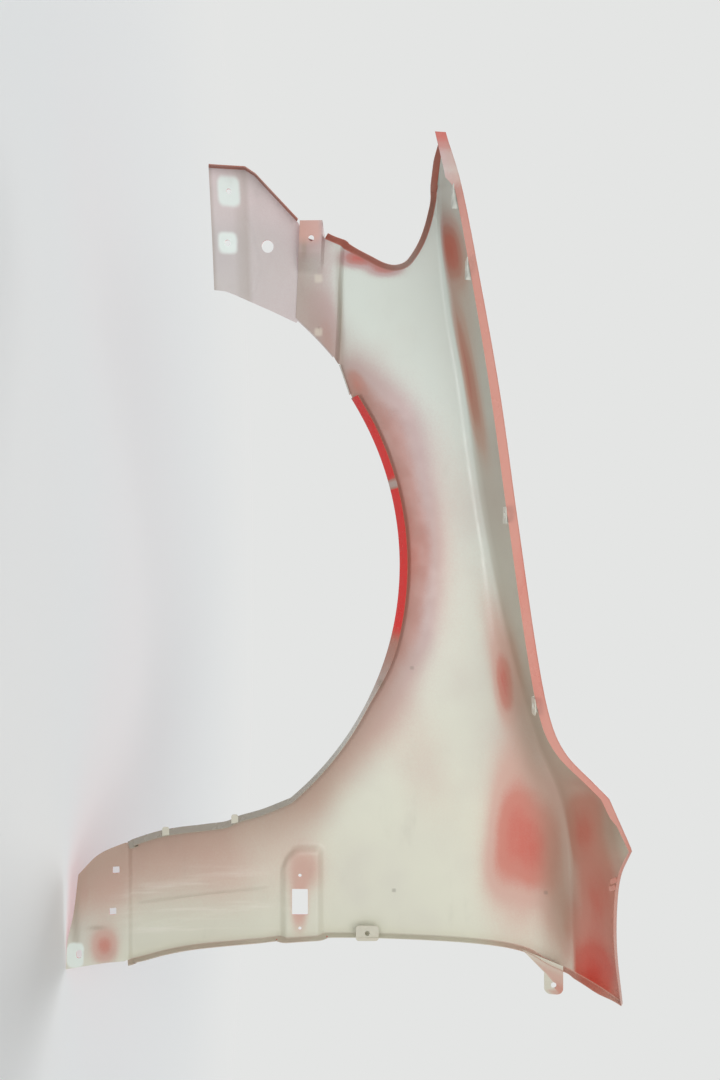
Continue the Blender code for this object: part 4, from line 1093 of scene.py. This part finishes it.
low, high = EAR_Z - EAR_WIDTH / 2, EAR_Z + EAR_WIDTH / 2
gusset_z = low - EAR_GUSSET_LENGTH
root_x = door_x(EAR_Z) + SHEET
end_x = root_x - EAR_REACH + EAR_CORNER
outline = [(root_x, high), *arc((end_x, high - EAR_CORNER), EAR_CORNER, pi / 2, pi)]
outline += arc((end_x, low + EAR_CORNER), EAR_CORNER, pi, 1.5 * pi)
outline += [(root_x - EAR_GUSSET_REACH, low), (door_x(gusset_z) + SHEET, gusset_z)]
tabs.faces.new([tabs.verts.new((x, door_flange_end(z) - SHEET / 2, z)) for x, z in outline])

for face in tabs.faces:
    face.material_index = 1
tab_object = mesh_object("small_tabs", tabs)
tab_object.data.materials.append(painted_side)
tab_object.data.materials.append(primer_side)
thicken(tab_object, SHEET, 0)
settle(tab_object)
punches = bmesh.new()
ear_hole = (root_x - EAR_REACH + EAR_WIDTH / 2, EAR_Z)
add_punch(punches, round_outline(ear_hole, EAR_HOLE), door_flange_end(EAR_Z))
door_tab_hole = (door_tab_x + (DOOR_TAB_IN - DOOR_TAB_OUT) / 2, DOOR_TAB_Z)
add_punch(punches, round_outline(door_tab_hole, DOOR_TAB_HOLE), door_tab_y)
for x in HOOD_TABS_X:
    bmesh.ops.create_cone(punches, cap_ends=True, segments=HOLE_SIDES, radius1=HOOD_TAB_HOLE / 2,
                          radius2=HOOD_TAB_HOLE / 2, depth=HOOD_TAB_PUNCH_DEPTH,
                          matrix=Matrix.Translation(hood_tab_seat(x)))
punched(tab_object, punches)


# The finished pressing: the sheet and its tabs in one mesh, set by the seat on the rear bolt
# tab as in the car, with the mist and the top coat held at its vertices.
TAB_MIST = 0.05
# The small tabs are laid a little darker.
TAB_DARKENING = 0.22
EAR_MIST = 0.50
HOOK_MIST = 0.50
HOOKS_FROM_Z = 0.64
SHARP_FROM = radians(32)

seat_point = hood_tab_seat(HOOD_TABS_X[0]) + Vector((0, HOOD_TAB_HOLE, 0))


def nearest_finish(points):
    """A reader of the finish held at the nearest of these points."""
    tree = KDTree(len(points))
    for index, (place, *_) in enumerate(points):
        tree.insert(place, index)
    tree.balance()

    def read(place):
        _, nearest, _ = tree.find(place)
        return points[nearest][1:]

    return read


def seated(obj, bm):
    """Give an object its last mesh, set by the seat and shaded smooth between its edges."""
    bmesh.ops.translate(bm, vec=-seat_point, verts=bm.verts[:])
    bm.to_mesh(obj.data)
    bm.free()
    obj.data.shade_smooth()
    obj.data.set_sharp_from_angle(angle=SHARP_FROM)


whole = bmesh.new()
whole.from_mesh(fender.data)
sheet_count = len(whole.verts)
whole.from_mesh(tab_object.data)
bpy.data.objects.remove(tab_object)

spray, top_coat, dust_and_shade = finish_layers(whole)
finish_at = nearest_finish(sheet_finish)
for index, vert in enumerate(whole.verts):
    if index < sheet_count:
        vert[spray], vert[top_coat], vert[dust_and_shade] = finish_at(vert.co)
        continue
    on_ear = vert.co.z > EAR_Z and vert.co.x < door_x(EAR_Z)
    on_hook = vert.co.z > HOOKS_FROM_Z
    vert[spray] = EAR_MIST if on_ear else HOOK_MIST if on_hook else TAB_MIST
    vert[top_coat] = vert[spray]
    vert[dust_and_shade] = TAB_DARKENING
seated(fender, whole)


# The finishes of the pressing: pale grey-green primer inside, dulled and dusted with red mist,
# and a gloss red top coat outside. The mist thins out through pink to the bare primer.
def srgb(red, green, blue):
    """A colour written as it looks, from 0 to 255, as the linear values that shaders take."""
    values = []
    for value in (red, green, blue):
        share = value / 255
        values.append(share / 12.92 if share < 0.04045 else ((share + 0.055) / 1.055) ** 2.4)
    return (*values, 1.0)


PRIMER_GREEN = srgb(209, 216, 208)
PRIMER_BEIGE = srgb(214, 213, 196)
PRIMER_SHADE = srgb(196, 190, 182)
MIST_COLOURS = [(0.30, srgb(187, 161, 159), srgb(204, 167, 153)),
                (0.55, srgb(183, 121, 114), srgb(198, 126, 111)),
                (0.80, srgb(194, 83, 70), srgb(196, 84, 70)),
                (1.00, srgb(194, 54, 40), srgb(194, 54, 40))]
TOP_COAT_RED = srgb(216, 26, 18)
GRIME = srgb(112, 104, 92)
# One brown colour for old dust and for painted shade.
DUST_AND_SHADE_COLOUR = srgb(134, 118, 96)
DUST_AND_SHADE_STRENGTH = 0.9
MIST_DRIFT = 0.65
MIST_SPECKLE = 0.10
WARM_MIST_AHEAD = 0.12
WARM_MIST_BEHIND = -0.16
WARM_MIST_LOW = -0.13
WARM_MIST_HIGH = -0.07
BEIGE_AHEAD = 0.42
BEIGE_BEHIND = -0.25


class Shader:
    """The nodes of a material or of the world, built one after another."""

    def __init__(self, material):
        material.use_nodes = True
        self.tree = material.node_tree
        self.surface = self.tree.nodes.get("Principled BSDF")

    def node(self, kind, inputs=None, **settings):
        """A new node with these inputs and settings."""
        made = self.tree.nodes.new(kind)
        for name, value in settings.items():
            setattr(made, name, value)
        for name, value in (inputs or {}).items():
            self.put(value, made.inputs[name])
        return made

    def put(self, value, socket):
        """Give a socket a value, or another node's output."""
        if isinstance(value, bpy.types.NodeSocket):
            self.tree.links.new(value, socket)
        else:
            socket.default_value = value

    def set(self, **inputs):
        """Fill the surface's own sockets."""
        for name, value in inputs.items():
            self.put(value, self.surface.inputs[name.replace("_", " ")])

    def noise(self, at, scale, detail=3.0, roughness=0.55, stretch=None):
        """Soft noise from 0 to 1, finer as the scale grows."""
        if stretch:
            at = self.node("ShaderNodeMapping", {"Vector": at, "Scale": stretch}).outputs[0]
        return self.node("ShaderNodeTexNoise", {"Vector": at, "Scale": scale, "Detail": detail,
                                                "Roughness": roughness}).outputs[0]

    def sum(self, operation, first, second, third=None):
        """One step of arithmetic on these values."""
        made = self.node("ShaderNodeMath", operation=operation)
        for index, value in enumerate((first, second, third)):
            if value is not None:
                self.put(value, made.inputs[index])
        return made.outputs[0]

    def spread(self, value, low, high, out_low=0.0, out_high=1.0):
        """The range from low to high eased to another one."""
        return self.node("ShaderNodeMapRange", {"Value": value, "From Min": low, "From Max": high,
                                                "To Min": out_low, "To Max": out_high},
                         interpolation_type="SMOOTHSTEP").outputs[0]

    def blend(self, share, first, second):
        """From the first colour to the second by this share."""
        made = self.node("ShaderNodeMix", data_type="RGBA")
        for name, value in (("Factor_Float", share), ("A_Color", first), ("B_Color", second)):
            socket = next(s for s in made.inputs if s.identifier == name)
            self.put(value, socket)
        return next(s for s in made.outputs if s.identifier == "Result_Color")

    def held(self, name):
        """A value that is held at the mesh's vertices."""
        return self.node("ShaderNodeAttribute", attribute_name=name).outputs["Fac"]

    def place(self):
        """Where a point lies, in metres from the object's origin."""
        return self.node("ShaderNodeTexCoord").outputs["Object"]

    def along(self, at):
        """How far forward, inboard and up a place is."""
        return self.node("ShaderNodeSeparateXYZ", {"Vector": at}).outputs

    def shown(self, surface, output):
        """Let the material or the world show this surface."""
        self.put(surface.outputs[0], self.tree.nodes[output].inputs["Surface"])

    def bump(self, at, grains):
        """Fine grains laid on each other, as (scale, strength, distance)."""
        normal = None
        for scale, strength, distance in grains:
            inputs = {"Height": self.noise(at, scale, detail=2.0), "Strength": strength,
                      "Distance": distance}
            if normal:
                inputs["Normal"] = normal
            normal = self.node("ShaderNodeBump", inputs).outputs[0]
        self.put(normal, self.surface.inputs["Normal"])


def misted(shader, base, amount, at):
    """Colour of a primed face under this much red mist, with the mist's ragged drift."""
    drift = shader.noise(at, 16.0, detail=4.0, roughness=0.5, stretch=(0.55, 1.0, 1.0))
    grain = shader.noise(at, 420.0, roughness=0.7)
    ragged = shader.sum("MULTIPLY_ADD", shader.sum("SUBTRACT", drift, 0.5), MIST_DRIFT, 1.0)
    amount = shader.sum("MULTIPLY", amount, ragged)
    speckle = shader.sum("MULTIPLY", shader.sum("SUBTRACT", grain, 0.5), MIST_SPECKLE)
    amount = shader.sum("ADD", amount, speckle)
    forward, _, up = shader.along(at)
    warmth = shader.sum("MAXIMUM", shader.spread(forward, WARM_MIST_AHEAD, WARM_MIST_BEHIND),
                        shader.spread(up, WARM_MIST_LOW, WARM_MIST_HIGH))
    colour = base
    before = 0.0
    for level, cool, warm in MIST_COLOURS:
        mist = shader.blend(warmth, cool, warm)
        colour = shader.blend(shader.spread(amount, before, level), colour, mist)
        before = level
    return colour, amount


def clouded(shader, colour, paint, noise, low, high, most):
    """A colour with a paint laid on it from where this noise is low to where it is high, where
    it covers the most."""
    return shader.blend(shader.spread(noise, low, high, 0.0, most), colour, paint)


def dusted_and_shaded(shader, colour):
    """A colour under the old dust and painted shade that are held at the vertices."""
    dust = shader.sum("MULTIPLY", shader.held("dust_and_shade"), DUST_AND_SHADE_STRENGTH)
    return shader.blend(dust, colour, DUST_AND_SHADE_COLOUR)


def square(shader, at, middle, half, soft, wander=0.002):
    """1 inside a rectangle of the side and 0 outside it, with round corners and a wandering
    soft edge. Its middle is given from the arch's centre, and its sizes are half its own."""
    wobble = shader.sum("SUBTRACT", shader.noise(at, 60.0), 0.5)
    wobble = shader.sum("MULTIPLY", wobble, 2 * wander)
    forward, _, up = shader.along(at)
    gaps = []
    for way, centre, size in zip((forward, up), Vector(middle) - seat_point.xz, half):
        off = shader.sum("ABSOLUTE", shader.sum("SUBTRACT", way, centre), None)
        gaps.append(shader.sum("POWER", shader.sum("DIVIDE", off, size), 4.0))
    away = shader.sum("POWER", shader.sum("ADD", *gaps), 0.25)
    away = shader.sum("ADD", away, shader.sum("DIVIDE", wobble, min(half)))
    return shader.spread(away, 1 - soft / min(half), 1 + soft / min(half), 1.0, 0.0)


def marked(shader, at, colour, paint, strength, **shape):
    """A colour with a small square of paint laid on it."""
    share = shader.sum("MULTIPLY", square(shader, at, **shape), strength)
    return shader.blend(share, colour, paint)


# Marks on the inside, each by its middle: the bare square that a mask left round the leg's
# screw, the thin spray on the tab, light streaks over the leg's folds that are painted highlight,
# bright weld marks and dark specks.
LEG_MASK = dict(paint=srgb(228, 237, 230), strength=0.85, middle=(-0.506, -0.0145),
                half=(0.0165, 0.0105), soft=0.0014)
TAB_SPRAY = dict(paint=srgb(216, 164, 149), strength=0.6, middle=(0.427, 0.291),
                 half=(0.020, 0.0145), soft=0.005)
LEG_FOLD_HIGHLIGHT_AREA = dict(middle=(-0.455, 0.150), half=(0.046, 0.095), soft=0.020)
LEG_FOLD_HIGHLIGHT = srgb(236, 230, 220)
WELD_MARKS = [(0.367, 0.3020), (0.302, 0.3012)]
WELD_MARK = dict(paint=srgb(220, 212, 194), strength=0.45, half=(0.0048, 0.0048), soft=0.0022,
                 wander=0.0006)
SPECKS = [(-0.432, 0.400), (-0.428, 0.598), (-0.137, 0.424)]
SPECK = dict(paint=GRIME, strength=0.40, half=(0.0022, 0.0024), soft=0.0012, wander=0.0008)

primer = Shader(primer_side)
at = primer.place()
ahead = primer.spread(primer.along(at)[0], BEIGE_AHEAD, BEIGE_BEHIND)
base = primer.blend(ahead, PRIMER_GREEN, PRIMER_BEIGE)
base = clouded(primer, base, PRIMER_SHADE, primer.noise(at, 5.0), low=0.42, high=0.72, most=0.55)
colour, mist = misted(primer, base, primer.held("spray"), at)
colour = dusted_and_shaded(primer, colour)
colour = marked(primer, at, colour, **LEG_MASK)
colour = marked(primer, at, colour, **TAB_SPRAY)
# Painted highlight: light streaks laid over the leg's folds.
streaks = primer.noise(at, 46.0, roughness=0.5, stretch=(2.6, 1.0, 0.12))
streaks = primer.spread(streaks, 0.48, 0.70, 0.0, 0.34)
fold_highlight = primer.sum("MULTIPLY", streaks, square(primer, at, **LEG_FOLD_HIGHLIGHT_AREA))
colour = primer.blend(fold_highlight, colour, LEG_FOLD_HIGHLIGHT)
smear = primer.noise(at, 9.0, detail=5.0, roughness=0.6, stretch=(1.0, 1.0, 2.6))
colour = clouded(primer, colour, GRIME, smear, low=0.56, high=0.82, most=0.12)
for middle in WELD_MARKS:
    colour = marked(primer, at, colour, middle=middle, **WELD_MARK)
for middle in SPECKS:
    colour = marked(primer, at, colour, middle=middle, **SPECK)
roughness = primer.spread(primer.noise(at, 30.0, detail=4.0), 0.3, 0.7, 0.30, 0.42)
roughness = primer.sum("MULTIPLY_ADD", mist, 0.08, roughness)
primer.set(Base_Color=colour, Roughness=roughness, IOR=1.5, Metallic=0.0)
primer.bump(at, [(700.0, 0.10, 0.0004), (2600.0, 0.06, 0.0002), (55.0, 0.05, 0.0012)])

# The outside: gloss red, a little deeper in places, with thin dust and faint long scratches.
DEEP_RED = srgb(192, 22, 17)
THIN_DUST = srgb(188, 150, 138)
SCRATCH_PINK = srgb(206, 104, 92)

gloss = Shader(painted_side)
at = gloss.place()
coat = gloss.held("top_coat")
thin, _ = misted(gloss, PRIMER_GREEN, coat, at)
thin = dusted_and_shaded(gloss, thin)
red = clouded(gloss, TOP_COAT_RED, DEEP_RED, gloss.noise(at, 3.0), low=0.3, high=0.7, most=1.0)
colour = gloss.blend(gloss.spread(coat, 0.72, 0.95), thin, red)
dust = gloss.noise(at, 12.0, detail=6.0, roughness=0.65, stretch=(1.0, 1.0, 1.8))
colour = clouded(gloss, colour, THIN_DUST, dust, low=0.55, high=0.82, most=0.10)
scratches = gloss.noise(at, 60.0, detail=4.0, roughness=0.6, stretch=(0.05, 1.0, 3.0))
colour = clouded(gloss, colour, SCRATCH_PINK, scratches, low=0.68, high=0.74, most=0.16)
roughness = gloss.spread(dust, 0.35, 0.75, 0.20, 0.34)
gloss.set(Base_Color=colour, Roughness=roughness, IOR=1.45, Metallic=0.0, Coat_Weight=0.2,
          Coat_Roughness=0.08)
gloss.bump(at, [(320.0, 0.06, 0.0004), (1400.0, 0.03, 0.0002)])

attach(fender, "root")
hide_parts("fender_panel")


# The bumper bracket: a thicker steel plate that is spot-welded behind the front flange and
# reaches down to the bumper, with a bend, a flange along its upper edges and three holes.
# Its two small holes were masked with tape, so clean primer shows round them.
BRACKET_SHEET = 0.0012
WELD_GAP = 0.0003
BRACKET_END_Z = 0.169
BRACKET_LAP = 0.040
BRACKET_OVERHANG = 0.002
BRACKET_BEND_Z = 0.211
BRACKET_BEND = 0.12
BRACKET_BEND_SOFT = 0.004
BRACKET_TOP = [(0.169, 0.491), (0.213, 0.491), (0.225, 0.484), (0.277, 0.433),
               (0.284, 0.416), (0.320, 0.404)]
BRACKET_FOOT = [(0.169, 0.352), (0.186, 0.350), (0.234, 0.331), (0.273, 0.3135)]
BRACKET_FLANGE = 0.011
BRACKET_FLANGE_STOP = 0.004
BRACKET_FLANGE_LEAN = radians(10)
BRACKET_HOLES = [(0.466, 0.192, 0.006), (0.408, 0.188, 0.007), (0.405, 0.238, 0.015)]
BRACKET_ROWS = 96
BRACKET_COLUMNS = 84
BRACKET_CREASES = [((0.433, 0.214), (0.379, 0.226)), ((0.379, 0.226), (0.346, 0.214))]
BRACKET_CREASE_DEPTH = 0.0007
BRACKET_CREASE_WIDTH = 0.006
BRACKET_MIST = [(0.169, 0.04), (0.20, 0.06), (0.23, 0.10), (0.28, 0.11), (0.32, 0.11)]
# Darker along the plate's lower end, with painted shade along its bend and where it runs under the
# fender's flange.
BRACKET_DUST_AND_SHADE = [(0.169, 0.45), (0.174, 0.04), (0.195, 0.04), (0.202, 0.20), (0.212, 0.30),
                 (0.218, 0.0), (0.274, 0.0), (0.284, 0.20)]
BRACKET_FLANGE_MIST = 0.66
# Painted shade on the bracket's flange.
BRACKET_FLANGE_SHADE = 0.45
BRACKET_TOP_COAT = 0.95
BRACKET_GREY = srgb(202, 195, 194)
BRACKET_PINK = srgb(224, 209, 209)
BRACKET_CLOUD = srgb(203, 198, 194)
BRACKET_PINK_FROM = 0.575
BRACKET_PINK_TO = 0.63
BRACKET_MASK = dict(paint=srgb(232, 241, 236), strength=0.92, soft=0.0026, wander=0.0012)
BRACKET_MASK_HALVES = [(0.0165, 0.0135), (0.0125, 0.0115)]

bracket_head = straight_curve(BRACKET_TOP)
bracket_foot = smooth_curve(BRACKET_FOOT)
bracket_mist = straight_curve(BRACKET_MIST)
bracket_dust_and_shade = straight_curve(BRACKET_DUST_AND_SHADE)


def bracket_crease(x, z):
    """Faint pressed lines across the plate beside its bend."""
    depth = 0.0
    for start, end in BRACKET_CREASES:
        start, end, spot = Vector(start), Vector(end), Vector((x, z))
        along = min(max((spot - start).dot(end - start) / (end - start).length_squared, 0.0), 1.0)
        away = (spot - mix(start, end, along)).length
        depth = max(depth, BRACKET_CREASE_DEPTH * (1 - ease(away, 0.0, BRACKET_CREASE_WIDTH)))
    return depth


def bracket_bend(z):
    """How far the foot is bent inboard, with a soft bend."""
    past = BRACKET_BEND_Z - z
    if past < -BRACKET_BEND_SOFT:
        return 0.0
    if past < BRACKET_BEND_SOFT:
        return BRACKET_BEND * (past + BRACKET_BEND_SOFT) ** 2 / (4 * BRACKET_BEND_SOFT)
    return BRACKET_BEND * past


bracket_sheet = bmesh.new()
spray, top_coat, dust_and_shade = finish_layers(bracket_sheet)
end_z = FLANGE_END_Z + BRACKET_LAP
rows = []
for i in range(BRACKET_ROWS + 1):
    z = mix(BRACKET_END_Z, end_z, i / BRACKET_ROWS)
    low = bracket_foot(z)
    if z > BRACKET_FOOT[-1][0]:
        low = sqrt(FLANGE_EDGE_RADIUS ** 2 - z * z) - BRACKET_OVERHANG
    points = []
    for j in range(BRACKET_COLUMNS + 1):
        x = mix(low, bracket_head(z), j / BRACKET_COLUMNS)
        depth = plain_depth(x, z) + FLANGE_STEP_DEPTH - SHEET - WELD_GAP + bracket_bend(z)
        points.append(Vector((x, depth - bracket_crease(x, z), z)))
    rows.append(points)
grid = add_rows(bracket_sheet, rows)
plate_spot = grid[BRACKET_ROWS // 2][BRACKET_COLUMNS // 2]
face_outboard(bracket_sheet, plate_spot)
edge = [row[-1] for row in grid if row[-1].co.z < FLANGE_END_Z - BRACKET_FLANGE_STOP]
offsets = turned_in(edge, BRACKET_FLANGE, BRACKET_FLANGE_LEAN)
flange_rows = fold_edge(bracket_sheet, edge, offsets)
face_outboard(bracket_sheet, plate_spot)
for vert in bracket_sheet.verts:
    vert[spray] = bracket_mist(vert.co.z)
    vert[dust_and_shade] = bracket_dust_and_shade(vert.co.z)
    vert[top_coat] = BRACKET_TOP_COAT
for row in flange_rows:
    for vert in row:
        vert[spray] = BRACKET_FLANGE_MIST
        vert[dust_and_shade] = BRACKET_FLANGE_SHADE
finish_at = nearest_finish(held_finish(bracket_sheet))
bracket = mesh_object("bracket_plate", bracket_sheet)
bracket.data.materials.append(painted_side)
bracket.data.materials.append(bpy.data.materials.new("bracket primer"))
thicken(bracket, BRACKET_SHEET, 1, inside=1)
settle(bracket)
punches = bmesh.new()
for x, z, diameter in BRACKET_HOLES:
    y = plain_depth(x, z) + FLANGE_STEP_DEPTH + bracket_bend(z)
    add_punch(punches, round_outline((x, z), diameter), y)
punched(bracket, punches)
whole = bmesh.new()
whole.from_mesh(bracket.data)
spray, top_coat, dust_and_shade = finish_layers(whole)
for vert in whole.verts:
    vert[spray], vert[top_coat], vert[dust_and_shade] = finish_at(vert.co)
seated(bracket, whole)

plate = Shader(bracket.data.materials[1])
at = plate.place()
ahead = plate.spread(plate.along(at)[0], BRACKET_PINK_FROM, BRACKET_PINK_TO)
base = plate.blend(ahead, BRACKET_GREY, BRACKET_PINK)
base = clouded(plate, base, BRACKET_CLOUD, plate.noise(at, 14.0), low=0.35, high=0.7, most=0.5)
colour, _ = misted(plate, base, plate.held("spray"), at)
colour = dusted_and_shaded(plate, colour)
for (hole_x, hole_z, _), half in zip(BRACKET_HOLES, BRACKET_MASK_HALVES):
    colour = marked(plate, at, colour, middle=(hole_x, hole_z), half=half, **BRACKET_MASK)
smear = plate.noise(at, 16.0, detail=5.0, roughness=0.6)
colour = clouded(plate, colour, GRIME, smear, low=0.55, high=0.82, most=0.18)
roughness = plate.spread(plate.noise(at, 40.0, detail=4.0), 0.3, 0.7, 0.38, 0.55)
plate.set(Base_Color=colour, Roughness=roughness, IOR=1.5, Metallic=0.0)
plate.bump(at, [(700.0, 0.10, 0.0004), (60.0, 0.06, 0.001)])

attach(bracket, "root")
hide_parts("bumper_bracket")


# The floor and the light: a pale floor just under the lowest edge, which runs into the same
# pale ground all round. A wide soft light comes from inboard, another from outside, and one
# low round lamp draws the highlight along the shoulder crease.
GROUND = srgb(228, 229, 228)
FLOOR_PAINT = srgb(240, 241, 240)
FLOOR_SIZE = 14.0
FLOOR_GAP = 0.0005
FLOOR_PLAIN_FROM = 0.9
FLOOR_PLAIN_TO = 2.2
SKY_COLOUR = (0.92, 0.96, 1.0, 1.0)
SKY_STRENGTH = 0.45
SOFT_LIGHT_ANGLE = radians(55)
KEY_LIGHT_FROM = (0.14, 0.88, 0.38)
KEY_LIGHT_COLOUR = (1.0, 0.99, 0.97)
OUTER_LIGHT_FROM = (0.25, -0.80, 0.55)
LOW_LIGHT_PLACE = (0.14, 0.86, -0.49)
LOW_LIGHT_AIM = (0.14, -0.08, 0.24)
LOW_LIGHT_SIZE = 0.20
LOW_LIGHT_BEAM = radians(88)

floor_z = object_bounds()[0][2] - FLOOR_GAP
floor_mesh = bmesh.new()
bmesh.ops.create_grid(floor_mesh, x_segments=8, y_segments=8, size=FLOOR_SIZE / 2)
bmesh.ops.translate(floor_mesh, vec=(0, 0, floor_z), verts=floor_mesh.verts[:])
floor = mesh_object("floor", floor_mesh)
floor.data.materials.append(bpy.data.materials.new("pale floor"))
ground = Shader(floor.data.materials[0])
reach = ground.node("ShaderNodeVectorMath", {0: ground.place()}, operation="LENGTH")
plain = ground.spread(reach.outputs["Value"], FLOOR_PLAIN_FROM, FLOOR_PLAIN_TO)
ground.set(Base_Color=FLOOR_PAINT, Roughness=0.9)
glow = ground.node("ShaderNodeEmission", {"Color": GROUND, "Strength": 1.0})
ground.shown(ground.node("ShaderNodeMixShader", {0: plain, 1: ground.surface.outputs[0],
                                                 2: glow.outputs[0]}), "Material Output")

world = bpy.data.worlds.new("studio")
bpy.context.scene.world = world
sky = Shader(world)
light = sky.node("ShaderNodeBackground", {"Color": SKY_COLOUR, "Strength": SKY_STRENGTH})
backdrop = sky.node("ShaderNodeBackground", {"Color": GROUND})
rays = sky.node("ShaderNodeLightPath").outputs
seen = sky.sum("MAXIMUM", rays["Is Camera Ray"], rays["Is Glossy Ray"])
seen = sky.sum("MAXIMUM", seen, rays["Is Transmission Ray"])
sky.shown(sky.node("ShaderNodeMixShader", {0: seen, 1: light.outputs[0],
                                           2: backdrop.outputs[0]}), "World Output")


def aimed(obj, way):
    """Turn a lamp to shine this way."""
    obj.rotation_euler = Vector(way).to_track_quat("-Z", "Y").to_euler()


def soft_light(name, toward, strength, colour=(1.0, 1.0, 1.0)):
    """A wide, even light that comes from this direction."""
    lamp = bpy.data.lights.new(name, "SUN")
    lamp.energy = strength
    lamp.angle = SOFT_LIGHT_ANGLE
    lamp.color = colour
    aimed(put_in_scene(name, lamp), -Vector(toward))


soft_light("key light", KEY_LIGHT_FROM, 1.20, KEY_LIGHT_COLOUR)
soft_light("outer light", OUTER_LIGHT_FROM, 1.3)

lamp = bpy.data.lights.new("low light", "AREA")
lamp.shape = "DISK"
lamp.size = LOW_LIGHT_SIZE
lamp.energy = 0.84
lamp.spread = LOW_LIGHT_BEAM
low_light = put_in_scene("low light", lamp)
low_light.location = LOW_LIGHT_PLACE
low_light.visible_camera = False
aimed(low_light, Vector(LOW_LIGHT_AIM) - Vector(LOW_LIGHT_PLACE))


# The camera: level on the inner side, square to the length of the fender, and turned on its
# own axis so that the fender's nose points up in the picture.
CAMERA_PLACE = (0.201, 1.08047, -0.20943)
CAMERA_TURN = Matrix(((0, 1, 0), (0, 0, 1), (1, 0, 0)))

camera_data = bpy.data.cameras.new("camera")
camera_data.sensor_fit = "VERTICAL"
camera_data.sensor_height = 36
camera_data.lens = 30
camera = put_in_scene("camera", camera_data)
camera.matrix_world = Matrix.Translation(CAMERA_PLACE) @ CAMERA_TURN.to_4x4()
bpy.context.scene.camera = camera
bpy.context.scene.view_settings.view_transform = "Standard"
